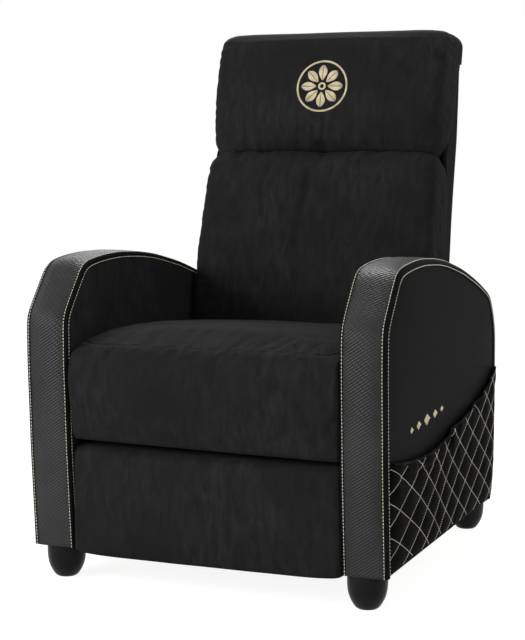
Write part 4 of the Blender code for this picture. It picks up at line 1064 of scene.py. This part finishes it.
for side_name, side in ARM_SIDES:
    pocket = make_pocket(side_name, side)
    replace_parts(pocket, f"{side_name}_side_pocket")
    make_hem(side_name, side)
    for number, line in enumerate(quilt_lines(side)):
        row_name = f"{side_name}_quilt_stitches_{number}"
        outwards = [(float(side), 0.0, 0.0)] * len(line)
        stitch_row(row_name, line, outwards, GOLD_THREAD, "base", QUILT_THREAD_RADIUS)

# Embroidered lozenges on the sides
# A plain row of small gold lozenges in satin stitch, worked through the side's cover above the
# pocket before the cover is fitted.
LOZENGE_DEPTHS = (0.136, 0.180, 0.2325, 0.285, 0.329)
LOZENGE_FIRST_HEIGHT = 0.306
LOZENGE_LAST_HEIGHT = 0.318
LOZENGE_HALF_LENGTHS = (0.010, 0.014, 0.019, 0.014, 0.010)
LOZENGE_SHAPE_SHARE = 0.62
SATIN_TONES = ((0.68, 0.56, 0.33, 1), (0.97, 0.87, 0.65, 1))
SATIN_ROUGHNESS = (0.38, 0.53)
SATIN_PITCH = 0.00105
SATIN_RADIUS = 0.00058
SATIN_LIFT_SHARES = (-0.8, 0.9, 1.2, 0.9, -0.8)
SATIN_THREAD = sewing_thread("satin_thread", SATIN_TONES, SATIN_ROUGHNESS)


def satin(name, starts, ends, ups, body):
    """Satin stitches: a thread from each start to its end, raised between them."""
    starts, ends, ups = (np.asarray(values, float) for values in (starts, ends, ups))
    shares = np.linspace(0, 1, len(SATIN_LIFT_SHARES))[None, :, None]
    lifts = np.array(SATIN_LIFT_SHARES)[None, :, None] * SATIN_RADIUS
    along = ends - starts
    centres = starts[:, None, :] + along[:, None, :] * shares + ups[:, None, :] * lifts
    along /= np.linalg.norm(along, axis=1)[:, None]
    besides = np.cross(along, ups)
    return thread_tubes(
        name, centres, ups[:, None, :], besides[:, None, :], SATIN_RADIUS, SATIN_THREAD, body
    )


def side_surface(y, z):
    """How far out the arm's smooth side stands at a point above the pocket."""
    seed = COVER_SEEDS["outer"]
    wave = cloth_wave((seed, y, z), COVER_WAVE_SIZE, COVER_WAVE, seed)
    return ARM_OUTER_X + COVER_PUFF - COVER_EDGE_DROP + outer_fullness(z) + wave


for side_name, side in ARM_SIDES:
    starts, ends = [], []
    heights = np.linspace(LOZENGE_FIRST_HEIGHT, LOZENGE_LAST_HEIGHT, len(LOZENGE_DEPTHS))
    for depth, middle, half_length in zip(LOZENGE_DEPTHS, heights, LOZENGE_HALF_LENGTHS):
        for offset in np.arange(SATIN_PITCH - half_length, half_length, SATIN_PITCH):
            y = FRONT_PLANE + depth + offset
            reach = (half_length - abs(offset)) * LOZENGE_SHAPE_SHARE
            x = side * side_surface(y, middle)
            starts.append((x, y, middle - reach))
            ends.append((x, y, middle + reach))
    satin(f"{side_name}_side_lozenges", starts, ends, [(float(side), 0.0, 0.0)] * len(starts), "base")

# Seat cushion
# One deep box cushion of foam under short-nap fabric, fuller at its middle, with a topstitched
# seam along its front edge. Its skirt hangs in front of the seat's steel frame.
SEAT_STEP = 0.0045
SEAT_HALF_WIDTH = 0.2660
SEAT_CORNER = 0.011
SEAT_STATIONS = 90
SEAT_CENTRE_POWER = 2.6
# Each row is the depth and height of the side view at the seat's ends, and what its middle adds.
SEAT_PROFILE = (
    (0.5110, 0.310, 0.0, 0.0), (0.048, 0.307, 0.0, 0.0), (0.040, 0.300, 0.0, 0.0), (0.036, 0.275, 0.0, 0.0),
    (0.028, 0.2675, 0.0, 0.0), (0.000, 0.2675, -0.001, 0.0), (-0.0075, 0.273, -0.003, 0.0),
    (-0.0090, 0.286, -0.005, 0.0), (-0.0130, 0.319, -0.007, 0.0), (-0.0200, 0.354, -0.010, 0.0),
    (-0.0240, 0.386, -0.010, 0.001), (-0.0230, 0.404, -0.009, 0.002), (-0.0180, 0.423, -0.007, 0.004),
    (-0.0110, 0.437, -0.003, 0.006), (0.0040, 0.444, 0.0, 0.008), (0.0200, 0.449, 0.0, 0.009),
    (0.0550, 0.456, 0.0, 0.010), (0.1160, 0.461, 0.0, 0.011), (0.2000, 0.461, 0.0, 0.011),
    (0.2880, 0.457, 0.0, 0.010), (0.3800, 0.451, 0.0, 0.009), (0.4860, 0.444, 0.0, 0.007),
    (0.5110, 0.434, 0.0, 0.004),
)
SEAT_EASE = 3
SEAT_SEAM_PLACE = (0.006, 0.452)
SEAT_SEAM_BACK = 0.050
SEAT_SEAM_BACK_POWER = 14
SEAT_SEAM_DEEP = 0.0030
SEAT_SEAM_WIDTH = 0.0042
SEAT_STITCH_WIDTHS = 1.4
SEAT_STITCH_UP = (0.0, -0.3, 1.0)
SEAT_WAVE = 0.0022
SEAT_WAVE_SIZE = 0.11
SEAT_PUCKER = 0.0011
SEAT_PUCKER_SIZE = 0.016
SEAT_PUCKER_REACH = 0.022
SEAT_PUCKER_STRETCH = 3
SEAT_WAVE_REACH = 0.132
SEAT_WAVE_SEED = 11.0
SEAT_PUCKER_SEED = 13.0
SEAT_SAG = 0.0040
SEAT_SAG_BELOW = 0.300
SEAT_SAG_BEFORE = 0.075
CLOTH_QUALITY = 5
CLOTH_MASS = 0.15
CLOTH_STIFFNESS = 15.0
CLOTH_BENDING = 0.05
CLOTH_HOLD = 1.0
CLOTH_PRESSURE = 2.0
SEAT_SLACK = 0.012
CLOTH_FRAMES = 16
CLOTH_FURTHEST = 0.006
SEAT_HELD_SIDE = 0.985
SEAT_HELD_REAR = 0.470
SEAT_HELD_BELOW = 0.285
BLACK_THREAD_TONES = ((0.004, 0.004, 0.004, 1), (0.012, 0.012, 0.012, 1))
BLACK_THREAD_ROUGHNESS = (0.5, 0.65)
ROUND_TURNS = tuple(math.radians(turn) for turn in range(0, 91, 15))


def seat_ring(share):
    """The seat's side view at a share of its half width, and the place along it of its seam."""
    middle = 1 - abs(share) ** SEAT_CENTRE_POWER
    profile = np.array(SEAT_PROFILE)
    path = even_path(profile[:, :2] + profile[:, 2:] * middle, SEAT_STEP, SEAT_EASE)
    seam = np.array(SEAT_SEAM_PLACE) + (SEAT_SEAM_BACK * abs(share) ** SEAT_SEAM_BACK_POWER, 0.0)
    nearest = int(np.argmin(np.linalg.norm(path - seam, axis=1)))
    return path, nearest * SEAT_STEP


def fold_edge(distance, radius):
    """How far a rounded edge of this radius draws in at a distance from the end of the piece."""
    if distance >= radius:
        return 0.0
    return radius - math.sqrt(max(radius**2 - (radius - distance) ** 2, 0.0))


def make_seat():
    ends = [SEAT_HALF_WIDTH - SEAT_CORNER * (1 - math.cos(turn)) for turn in ROUND_TURNS]
    middle = list(np.linspace(-ends[-1], ends[-1], SEAT_STATIONS))[1:-1]
    stations = [-x for x in ends] + middle + ends[::-1]
    count = len(seat_ring(0.0)[0])
    points, seam_points, held = [], [], []
    for x in stations:
        path, seam_place = seat_ring(x / SEAT_HALF_WIDTH)
        path = values_at(np.linspace(0, 1, count), np.linspace(0, 1, len(path)), path)
        drawn = fold_edge(SEAT_HALF_WIDTH - abs(x), SEAT_CORNER)
        lengths = lengths_along(path)
        for length, (depth, z), (out_y, out_z) in zip(lengths, path, outward(path)):
            from_seam = length - seam_place
            sewn = hump(from_seam, SEAT_SEAM_WIDTH)
            beside = abs(x) > SEAT_HELD_SIDE * SEAT_HALF_WIDTH
            hidden = beside or depth > SEAT_HELD_REAR or z < SEAT_HELD_BELOW
            held.append(1.0 if hidden or z < SEAT_SAG_BELOW and depth > 0 else sewn)
            lift = -drawn - SEAT_SEAM_DEEP * sewn
            if from_seam > -SEAT_WAVE_REACH:
                lift += cloth_wave((x, depth, z), SEAT_WAVE_SIZE, SEAT_WAVE, SEAT_WAVE_SEED)
            spot = (x, depth / SEAT_PUCKER_STRETCH, z / SEAT_PUCKER_STRETCH)
            pucker = cloth_wave(spot, SEAT_PUCKER_SIZE, SEAT_PUCKER, SEAT_PUCKER_SEED)
            lift += math.exp(-abs(from_seam) / SEAT_PUCKER_REACH) * pucker
            sag = SEAT_SAG * x / SEAT_HALF_WIDTH * (z < SEAT_SAG_BELOW and depth < SEAT_SAG_BEFORE)
            points.append((x, FRONT_PLANE + depth + out_y * lift, z + out_z * lift - sag))
        nearest = int(np.argmin(np.abs(lengths - seam_place - SEAT_SEAM_WIDTH * SEAT_STITCH_WIDTHS)))
        seam_points.append(len(points) - count + nearest)
    faces = ring_faces(len(stations), count)
    piece = link_piece("seat_pad", points, faces, NAP, "seat")
    settle(piece, held, SEAT_SLACK)
    return piece, [piece.data.vertices[index].co.copy() for index in seam_points]


def settle(piece, held, slack):
    """Lets a pad's cover take its own folds: cloth over filling, held where it is sewn or hidden."""
    group = piece.vertex_groups.new(name="held")
    for index, weight in enumerate(held):
        group.add([index], float(weight), "REPLACE")
    cover = piece.modifiers.new("cover", "CLOTH")
    cover.settings.quality = CLOTH_QUALITY
    cover.settings.mass = CLOTH_MASS
    cover.settings.tension_stiffness = CLOTH_STIFFNESS
    cover.settings.compression_stiffness = CLOTH_STIFFNESS
    cover.settings.shear_stiffness = CLOTH_STIFFNESS / 2
    cover.settings.bending_stiffness = CLOTH_BENDING
    cover.settings.vertex_group_mass = "held"
    cover.settings.pin_stiffness = CLOTH_HOLD
    cover.settings.use_pressure = True
    cover.settings.uniform_pressure_force = CLOTH_PRESSURE
    cover.settings.shrink_min = -slack
    cover.settings.effector_weights.gravity = 0
    cover.point_cache.frame_end = CLOTH_FRAMES
    for moment in range(1, CLOTH_FRAMES + 1):
        scene.frame_set(moment)
    folded = bpy.data.meshes.new_from_object(piece.evaluated_get(bpy.context.evaluated_depsgraph_get()))
    places = np.empty(3 * len(folded.vertices))
    folded.vertices.foreach_get("co", places)
    before = np.empty(len(places))
    piece.data.vertices.foreach_get("co", before)
    moved = (places - before).reshape(-1, 3)
    far = np.linalg.norm(moved, axis=1)
    moved *= (CLOTH_FURTHEST / np.maximum(far, CLOTH_FURTHEST))[:, None]
    piece.modifiers.remove(cover)
    piece.data.vertices.foreach_set("co", before + moved.ravel())
    piece.data.update()
    scene.frame_set(1)


BLACK_THREAD = sewing_thread("black_thread", BLACK_THREAD_TONES, BLACK_THREAD_ROUGHNESS)
seat_pad, seat_seam = make_seat()
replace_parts(seat_pad, "seat_cushion")
stitch_row("seat_seam_stitches", seat_seam, [SEAT_STITCH_UP] * len(seat_seam), BLACK_THREAD, "seat")

# Shell behind the back
# The rear of the back is a smooth faux-leather cover drawn over a shaped board, from under the
# seat to the top of the back's frame. Its rounded sides show behind the back cushions.
BACK_LEAN = math.radians(15)
BACK_FOOT = (0.500, 0.450)
SHELL_STEP = 0.008
SHELL_RISES = (-0.140, 0.5945)
SHELL_REAR_RISES = (-0.140, -0.02, 0.10, 0.187, 0.261, 0.347, 0.433, 0.518, 0.580, 0.595)
SHELL_REAR_THROUGHS = (0.200, 0.194, 0.186, 0.176, 0.165, 0.158, 0.152, 0.138, 0.126, 0.1215)
SHELL_HALF_RISES = (-0.140, -0.040, 0.0, 0.594)
SHELL_HALF_WIDTHS = (0.2520, 0.2520, 0.2600, 0.2620)
WRAP_RISES = (
    -0.140, 0.015, 0.055, 0.176, 0.208, 0.26, 0.311, 0.351, 0.370, 0.379, 0.415, 0.464, 0.521, 0.60, 0.64,
)
WRAP_THROUGHS = (
    0.142, 0.142, 0.114, 0.113, 0.111, 0.103, 0.094, 0.078, 0.066, 0.065, 0.078, 0.095, 0.102, 0.112, 0.114,
)
SHELL_OVERLAP = 0.0015
SHELL_LIP = 0.0090
SHELL_LOW_LIP = 0.0048
SHELL_LIP_FROM = 0.060
SHELL_THICK = 0.0040
SHELL_CORNER = 0.012
SHELL_HOLLOW = 0.004
SHELL_ACROSS = 30
SHELL_SIDE_STEPS = 8
SHELL_WAVE = 0.0018
SHELL_WAVE_SIZE = 0.16
SHELL_SEED = 17.0


def lean(x, rise, through):
    """A point of the back's leaning frame, in the chair's frame."""
    y = FRONT_PLANE + BACK_FOOT[0] + rise * math.sin(BACK_LEAN) + through * math.cos(BACK_LEAN)
    return (x, y, BACK_FOOT[1] + rise * math.cos(BACK_LEAN) - through * math.sin(BACK_LEAN))


def shell_section(rise, inset):
    """Half of the shell's section at this rise, from its front edge round to the middle of its rear."""
    half = np.interp(rise, SHELL_HALF_RISES, SHELL_HALF_WIDTHS) - inset
    rear = np.interp(rise, SHELL_REAR_RISES, SHELL_REAR_THROUGHS) - inset
    front = np.interp(rise, WRAP_RISES, WRAP_THROUGHS) - SHELL_OVERLAP + inset
    corner = SHELL_CORNER - inset
    side_end = rear - corner - SHELL_HOLLOW
    lip = SHELL_LIP if rise > SHELL_LIP_FROM else SHELL_LOW_LIP
    section = [(half + inset - lip, front)]
    section += [(half, through) for through in np.linspace(front, side_end, SHELL_SIDE_STEPS)]
    for turn in ROUND_TURNS[1:]:
        section.append((half - corner * (1 - math.cos(turn)), side_end + corner * math.sin(turn)))
    flat = half - corner
    for x in np.linspace(flat, 0, SHELL_ACROSS)[1:]:
        section.append((x, rear - SHELL_HOLLOW * (x / flat) ** 2))
    return section


def make_shell():
    rises = np.linspace(*SHELL_RISES, round((SHELL_RISES[1] - SHELL_RISES[0]) / SHELL_STEP))
    points = []
    for rise in rises:
        outer, inner = [
            half + [(-x, through) for x, through in half[-2::-1]]
            for half in (shell_section(rise, 0.0), shell_section(rise, SHELL_THICK))
        ]
        ring = outer + inner[::-1]
        for x, through in ring:
            wave = cloth_wave((x, rise, 0.0), SHELL_WAVE_SIZE, SHELL_WAVE, SHELL_SEED)
            points.append(lean(x, rise, through + wave))
    faces = ring_faces(len(rises), len(ring))
    return link_piece("back_cover", points, faces, VINYL, "back")


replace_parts(make_shell(), "back_rear_shell")

# Back cushions
# A lower cushion in two lobes with a sewn channel between them, and a full headrest over it, both
# fibre-filled under short-nap fabric. They wrap round the sides of the back and meet in a seam.
CUSHION_STEP = 0.0045
CUSHION_ACROSS = 100
CUSHION_SIDE_STEPS = 22
BACK_SLACK = 0.050
CUSHION_SEAM_REACH = 0.006
REAR_HELD_WIDTH = 0.262
CUSHION_REAR = 0.0775
CUSHION_FLANGE = 0.0042
CUSHION_ROUND = 0.028
WRAP_FROM = 0.045
REAR_WIDTH_RISES = (-0.036, 0.02, 0.30, 0.350, 0.3735, 0.396, 0.46, 0.60, 0.645)
REAR_HALF_WIDTHS = (0.2620, 0.2635, 0.2635, 0.2610, 0.2490, 0.2615, 0.2635, 0.2630, 0.2625)
LOWER_RISES = (-0.036, 0.3738)
LOWER_WIDTH_RISES = (-0.036, 0.005, 0.03, 0.166, 0.204, 0.255, 0.30, 0.345, 0.362, 0.3725)
LOWER_HALF_WIDTHS = (0.256, 0.262, 0.264, 0.264, 0.261, 0.258, 0.256, 0.253, 0.246, 0.231)
LOWER_FULL_RISES = (-0.036, -0.01, 0.03, 0.09, 0.20, 0.30, 0.34, 0.358, 0.367, 0.3725)
LOWER_FULLS = (0.10, 0.35, 0.75, 1.0, 1.0, 0.95, 0.80, 0.52, 0.25, 0.0)
LOWER_BASE_RISES = (-0.036, 0.0, 0.06, 0.20, 0.32, 0.355, 0.3725)
LOWER_BASES = (0.030, 0.022, 0.010, 0.003, 0.002, 0.006, 0.014)
LOWER_SEED = 21.0
LOWER_LOBE = 0.017
LOBE_PLACE_SHARE = 0.45
LOBE_POWERS = {"inner": 2.4, "outer": 2.0}
LOBE_LEAST = 0.86
CHANNEL_DEEP = 0.0050
CHANNEL_WIDTH = 0.0100
CHANNEL_RISES = (-0.036, 0.012, 0.14, 0.198, 0.284, 0.354, 0.3725)
CHANNEL_PLACES = (-0.004, -0.0104, -0.0257, -0.0226, -0.0133, 0.0081, 0.0125)
CREASE_BESIDE = 0.0070
CREASE_DEEP = 0.0016
DIMPLE_PLACE = (0.012, 0.3735)
DIMPLE_SIZE = (0.016, 0.014)
DIMPLE_DEEP = 0.0085
HEAD_RISES = (0.3742, 0.6400)
HEAD_WIDTH_RISES = (0.3745, 0.3955, 0.418, 0.463, 0.508, 0.600, 0.620, 0.631, 0.637, 0.6400)
HEAD_HALF_WIDTHS = (0.2235, 0.2350, 0.2430, 0.2510, 0.2550, 0.2550, 0.2530, 0.2470, 0.2390, 0.2290)
HEAD_FULL_RISES = (0.3745, 0.380, 0.392, 0.420, 0.460, 0.540, 0.590, 0.615, 0.630, 0.6400)
HEAD_FULLS = (0.0, 0.30, 0.62, 0.90, 1.0, 1.0, 0.92, 0.70, 0.35, 0.0)
HEAD_BASE_RISES = (0.3745, 0.40, 0.44, 0.59, 0.615, 0.630, 0.637, 0.6400)
HEAD_BASES = (0.014, 0.007, 0.004, 0.004, 0.007, 0.015, 0.026, 0.038)
HEAD_SEED = 29.0
HEAD_CROWN = 0.027
HEAD_CROWN_POWER = 2.5
HEAD_OVER_ROWS = 16
HEAD_OVER_RISE = 0.588
HEAD_OVER_REAR = 0.1215
HEAD_OVER_ROUND = 0.024
HEAD_LEVEL = 0.016
HEAD_LEVEL_FROM = 0.560
HEAD_TOP_ROUND = 0.022
SEAM_PUCKER = 0.0090
SEAM_PUCKER_SIZE = 0.021
SEAM_PUCKER_REACH = 0.026
SEAM_PUCKER_STRETCH = 4
SIDE_PUCKER = 0.0046
SIDE_PUCKER_SIZE = 0.020
SIDE_PUCKER_REACH = 0.022
SIDE_PUCKER_STRETCH = 3
SIDE_PUCKER_PLACE = 3.0
SIDE_STEP_POWER = 1.6
SIDE_WIDE_POWER = 2.2
REAR_STEPS = 12
CUSHION_WAVE = 0.0030
CUSHION_WAVE_SIZE = 0.095
LOWER_SEAM_RISES = (0.01, 0.355)
LAY_FROM = -0.2


def lower_front(x, half, rise):
    """The lower cushion's front face: two lobes, the channel between them and its side creases."""
    full = np.interp(rise, LOWER_FULL_RISES, LOWER_FULLS)
    share = abs(x) / half
    place = "inner" if share <= LOBE_PLACE_SHARE else "outer"
    lobe = 1 - abs((share - LOBE_PLACE_SHARE) / (1 - LOBE_PLACE_SHARE)) ** LOBE_POWERS[place]
    through = np.interp(rise, LOWER_BASE_RISES, LOWER_BASES)
    from_channel = x - np.interp(rise, CHANNEL_RISES, CHANNEL_PLACES)
    through -= LOWER_LOBE * full * max(lobe, LOBE_LEAST if share < LOBE_PLACE_SHARE else 0.0)
    through += CHANNEL_DEEP * full * hump(from_channel, CHANNEL_WIDTH)
    for beside in (-CREASE_BESIDE, CREASE_BESIDE):
        through += CREASE_DEEP * full * hump(from_channel - beside, CHANNEL_WIDTH / 2)
    return through


def head_front(x, half, rise):
    """The headrest's front face: one full pillow."""
    crown = HEAD_CROWN * np.interp(rise, HEAD_FULL_RISES, HEAD_FULLS)
    return np.interp(rise, HEAD_BASE_RISES, HEAD_BASES) - crown * (1 - (abs(x) / half) ** HEAD_CROWN_POWER)


def cushion_rear(rise):
    """The cushions stop before the frame, but over the frame's top the headrest reaches back."""
    if rise < HEAD_OVER_RISE:
        return CUSHION_REAR
    return HEAD_OVER_REAR - fold_edge(HEAD_RISES[1] - rise, HEAD_OVER_ROUND)


def cushion_face(x, rise, half, front, seed):
    """A cushion's front face at x: its own form with puckers, the dimple and slow waves."""
    flat = half - CUSHION_ROUND
    seam = math.exp(-abs(rise - LOWER_RISES[1]) / SEAM_PUCKER_REACH)
    through = front(x, half, rise)
    seam_spot = (x, rise / SEAM_PUCKER_STRETCH, seed)
    through += seam * cloth_wave(seam_spot, SEAM_PUCKER_SIZE, SEAM_PUCKER, seed)
    aside = hump(x - DIMPLE_PLACE[0], DIMPLE_SIZE[0])
    through += DIMPLE_DEEP * aside * hump(rise - DIMPLE_PLACE[1], DIMPLE_SIZE[1])
    through += cloth_wave((x, rise, seed), CUSHION_WAVE_SIZE, CUSHION_WAVE, seed)
    side_spot = (math.copysign(SIDE_PUCKER_PLACE, x), rise, x / SIDE_PUCKER_STRETCH)
    pucker = abs(cloth_wave(side_spot, SIDE_PUCKER_SIZE, SIDE_PUCKER, seed))
    return through + math.exp((abs(x) - flat) / SIDE_PUCKER_REACH) * pucker


def cushion_side(side, rise, half, wide, start, wrap, seed):
    """A cushion's side at this rise, from its face round to the seam where it wraps the back."""
    seam = math.exp(-abs(rise - LOWER_RISES[1]) / SEAM_PUCKER_REACH)
    line = []
    for step in range(1, CUSHION_SIDE_STEPS + 1):
        share = (step / CUSHION_SIDE_STEPS) ** SIDE_STEP_POWER
        through = start + (wrap - start) * share
        x = half - fold_edge(through - start, CUSHION_ROUND)
        x += (wide - half) * (1 - (1 - share) ** SIDE_WIDE_POWER)
        spot = (side * SIDE_PUCKER_PLACE, rise, through / 2)
        pucker = abs(cloth_wave(spot, SIDE_PUCKER_SIZE, SIDE_PUCKER, seed))
        line.append((side * (x - pucker * min(1.0, 4 * share * (1 - share) + seam)), through))
    return line


def cushion_section(rise, widths, front, seed):
    """A cushion's whole section at this rise: its front face, its sides and its hidden rear."""
    half = float(np.interp(rise, *widths))
    back = cushion_rear(rise)
    wide = float(np.interp(rise, REAR_WIDTH_RISES, REAR_HALF_WIDTHS))
    if back > CUSHION_REAR:
        wide -= fold_edge(HEAD_RISES[1] - rise, HEAD_TOP_ROUND)
    wrap = back
    if WRAP_FROM < rise and back <= CUSHION_REAR:
        wrap = max(float(np.interp(rise, WRAP_RISES, WRAP_THROUGHS)), back)
    flat = half - CUSHION_ROUND
    across = np.linspace(-flat, flat, CUSHION_ACROSS)
    face = [(x, cushion_face(x, rise, half, front, seed)) for x in across]
    left = cushion_side(1, rise, half, wide, face[-1][1], wrap, seed)
    right = cushion_side(-1, rise, half, wide, face[0][1], wrap, seed)
    inner = wide - CUSHION_FLANGE
    rear_line = [(x, back) for x in np.linspace(inner, -inner, REAR_STEPS)]
    return face + left + [(inner, wrap)] + rear_line + [(-inner, wrap)] + right[::-1]


def cushion_held(x, rise, through, rises):
    """How firmly a back cushion's cover is held: fully at its seams, its wrap and its hidden rear."""
    wrap = float(np.interp(rise, WRAP_RISES, WRAP_THROUGHS))
    if through > min(wrap, CUSHION_REAR) - CUSHION_FLANGE or abs(x) > REAR_HELD_WIDTH:
        return 1.0
    return hump(min(abs(rise - LOWER_RISES[1]), abs(rise - rises[0])), CUSHION_SEAM_REACH)


def make_cushion(name, rises, widths, front, seed):
    rows = np.linspace(*rises, round((rises[1] - rises[0]) / CUSHION_STEP))
    if rises[1] > HEAD_OVER_RISE:
        over_rows = np.linspace(HEAD_OVER_RISE, rises[1], HEAD_OVER_ROWS)
        rows = np.concatenate([rows[rows < HEAD_OVER_RISE], over_rows])
    points, held = [], []
    for rise in rows:
        section = cushion_section(rise, widths, front, seed)
        level = HEAD_LEVEL * max(0.0, rise - HEAD_LEVEL_FROM) / (HEAD_RISES[1] - HEAD_LEVEL_FROM)
        for x, through in section:
            points.append(lean(x, rise + level * max(0.0, through) / HEAD_OVER_REAR, through))
            held.append(cushion_held(x, rise, through, rises))
    faces = ring_faces(len(rows), len(section))
    piece = link_piece(name, points, faces, NAP, "back")
    settle(piece, held, BACK_SLACK)
    return piece


LOWER_WIDTHS = (LOWER_WIDTH_RISES, LOWER_HALF_WIDTHS)
HEAD_WIDTHS = (HEAD_WIDTH_RISES, HEAD_HALF_WIDTHS)
lower_pad = make_cushion("lower_back_pad", LOWER_RISES, LOWER_WIDTHS, lower_front, LOWER_SEED)
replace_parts(lower_pad, "back_lower_cushion")
head_pad = make_cushion("headrest_pad", HEAD_RISES, HEAD_WIDTHS, head_front, HEAD_SEED)
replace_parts(head_pad, "headrest_cushion")


def skin_of(piece):
    """A search tree of a piece's faces, to lay stitches on it."""
    corners = [vert.co for vert in piece.data.vertices]
    return BVHTree.FromPolygons(corners, [tuple(face.vertices) for face in piece.data.polygons])


def lay_on(skin, x, rise):
    """The point of a back cushion's front face at x and rise, and the face's direction there."""
    start = Vector(lean(x, rise, LAY_FROM))
    ahead = Vector(lean(x, rise, 0.0)) - start
    point, normal, _, _ = skin.ray_cast(start, ahead.normalized())
    if normal.dot(ahead) > 0:
        normal = -normal
    return point, normal


lower_skin = skin_of(lower_pad)
for number, offset in enumerate((-CREASE_BESIDE, 0.0, CREASE_BESIDE)):
    seam_line = []
    for rise in np.arange(*LOWER_SEAM_RISES, CUSHION_STEP):
        place = float(np.interp(rise, CHANNEL_RISES, CHANNEL_PLACES))
        seam_line.append(lay_on(lower_skin, place + offset, rise))
    stitch_row(f"lower_back_seam_{number}", *zip(*seam_line), BLACK_THREAD, "back")

# Embroidered rosette on the headrest
# A plain eight-petalled rosette in a ring, worked in gold satin stitch on the headrest's front.
ROSETTE_PLACE = (0.004, 0.506)
ROSETTE_RING = 0.0545
ROSETTE_RING_HALF = 0.0022
ROSETTE_RING_STITCHES = 300
ROSETTE_PETALS = 8
PETAL_FROM = 0.0125
PETAL_TO = 0.0465
PETAL_HALF_WIDTH = 0.0098
PETAL_PITCH = 0.0011
PETAL_SLANT = 0.35
PETAL_SKEW = 1.25
PETAL_ROUND = 0.7
EYE_RADIUS = 0.0085
EYE_STITCHES = 60


def rays(count):
    """Directions in even turns round the rosette's middle."""
    for number in range(count):
        turn = math.tau * number / count
        yield Vector((math.cos(turn), math.sin(turn)))


def rosette_stitches():
    """The two ends of each stitch of the rosette, in its own plane."""
    for ray in rays(ROSETTE_RING_STITCHES):
        yield ray * (ROSETTE_RING - ROSETTE_RING_HALF), ray * (ROSETTE_RING + ROSETTE_RING_HALF)
    for ray in rays(EYE_STITCHES):
        yield ray * (EYE_RADIUS / 2), ray * EYE_RADIUS
    for ray in rays(ROSETTE_PETALS):
        beside = Vector((-ray.y, ray.x))
        for reach in np.arange(PETAL_FROM, PETAL_TO, PETAL_PITCH):
            share = (reach - PETAL_FROM) / (PETAL_TO - PETAL_FROM)
            half = PETAL_HALF_WIDTH * math.sin(math.pi * share**PETAL_SKEW) ** PETAL_ROUND
            if half < PETAL_PITCH / 2:
                continue
            for hand in (-1, 1):
                stem = ray * (reach - PETAL_SLANT * half)
                yield stem + beside * (hand * PETAL_PITCH / 4), ray * reach + beside * (hand * half)


head_skin = skin_of(head_pad)
starts, ends, ups = [], [], []
for first, second in rosette_stitches():
    start, up = lay_on(head_skin, ROSETTE_PLACE[0] + first.x, ROSETTE_PLACE[1] + first.y)
    end, _ = lay_on(head_skin, ROSETTE_PLACE[0] + second.x, ROSETTE_PLACE[1] + second.y)
    starts.append(start)
    ends.append(end)
    ups.append(up)
satin("headrest_rosette", starts, ends, ups, "back")

# Footrest pad
# A thin upholstered panel of short-nap fabric over foam, on a plywood board. Its cover is drawn
# round the board's edges and stapled behind. It is a little crowned, with tight corners.
PAD_HALF_WIDTH = 0.2660
PAD_HEIGHTS = (0.0515, 0.2605)
PAD_FRONT = -0.0030
PAD_REAR = 0.0506
PAD_INNER_REAR = 0.0360
PAD_STAPLED_EDGE = 0.0220
PAD_REAR_EASE = 0.30
PAD_TOP_ROUND = (0.0360, 0.0190)
PAD_CROWN = 0.0090
PAD_CROWN_POWER = 3
PAD_CORNER = 0.011
PAD_CORNER_SHARES = (0.6, 0.15)
PAD_STEP = 0.0045
PAD_ACROSS = 100
PAD_CORNER_LIFT = 0.0050
PAD_CORNER_LIFT_POWER = 8
PAD_WAVE = 0.0014
PAD_SEED = 41.0
PAD_TILT = 0.0030


def footrest_section(row, tall):
    """The pad's section at a row of its height: its crowned front, its sides and its stapled rear."""
    below = fold_edge(row, PAD_CORNER)
    above = fold_edge(tall - row, PAD_TOP_ROUND[1])
    height_share = abs(2 * row / tall - 1)
    half = PAD_HALF_WIDTH - below * PAD_CORNER_SHARES[0] - above * PAD_CORNER_SHARES[1]
    drawn = below + above * PAD_TOP_ROUND[0] / PAD_TOP_ROUND[1]
    front = []
    for x in np.linspace(-(half - PAD_CORNER), half - PAD_CORNER, PAD_ACROSS):
        crown = PAD_CROWN * (1 - abs(x / half) ** PAD_CROWN_POWER) * (1 - height_share**PAD_CROWN_POWER)
        wave = cloth_wave((x, row, 0.0), CUSHION_WAVE_SIZE, PAD_WAVE, PAD_SEED)
        front.append((x, PAD_FRONT + drawn - crown + wave))
    edge = front[-1][1]
    rear = PAD_REAR - below * PAD_REAR_EASE
    inner_rear = rear if min(row, tall - row) < PAD_STAPLED_EDGE else PAD_INNER_REAR
    corner = min(PAD_CORNER, (rear - edge) / 2)
    side = [
        (half - PAD_CORNER * (1 - math.sin(turn)), edge + corner * (1 - math.cos(turn)))
        for turn in ROUND_TURNS[1:]
    ]
    side += [(half, rear), (half - PAD_STAPLED_EDGE, rear), (half - PAD_STAPLED_EDGE, inner_rear)]
    return half, front + side + [(-x, depth) for x, depth in side[::-1]]


def make_footrest():
    """The pad, row by row from its lower edge up to its rounder upper edge."""
    tall = PAD_HEIGHTS[1] - PAD_HEIGHTS[0]
    rows = [PAD_CORNER * (1 - math.cos(turn)) for turn in ROUND_TURNS]
    rows += list(np.arange(PAD_CORNER + PAD_STEP, tall - PAD_TOP_ROUND[1], PAD_STEP))
    rows += [tall - PAD_TOP_ROUND[1] * (1 - math.cos(math.radians(turn))) for turn in range(90, -1, -10)]
    points = []
    for row in rows:
        half, section = footrest_section(row, tall)
        corner_lift = PAD_CORNER_LIFT * max(0.0, 1 - row / (2 * PAD_CORNER))
        for x, depth in section:
            z = PAD_HEIGHTS[0] + row + corner_lift * abs(x / half) ** PAD_CORNER_LIFT_POWER
            points.append((x, FRONT_PLANE + depth, z - PAD_TILT * x / half * row / tall))
    faces = ring_faces(len(rows), len(section))
    return link_piece("footrest_panel", points, faces, NAP, "footrest")


footrest_panel = make_footrest()
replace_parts(footrest_panel, "footrest_pad")
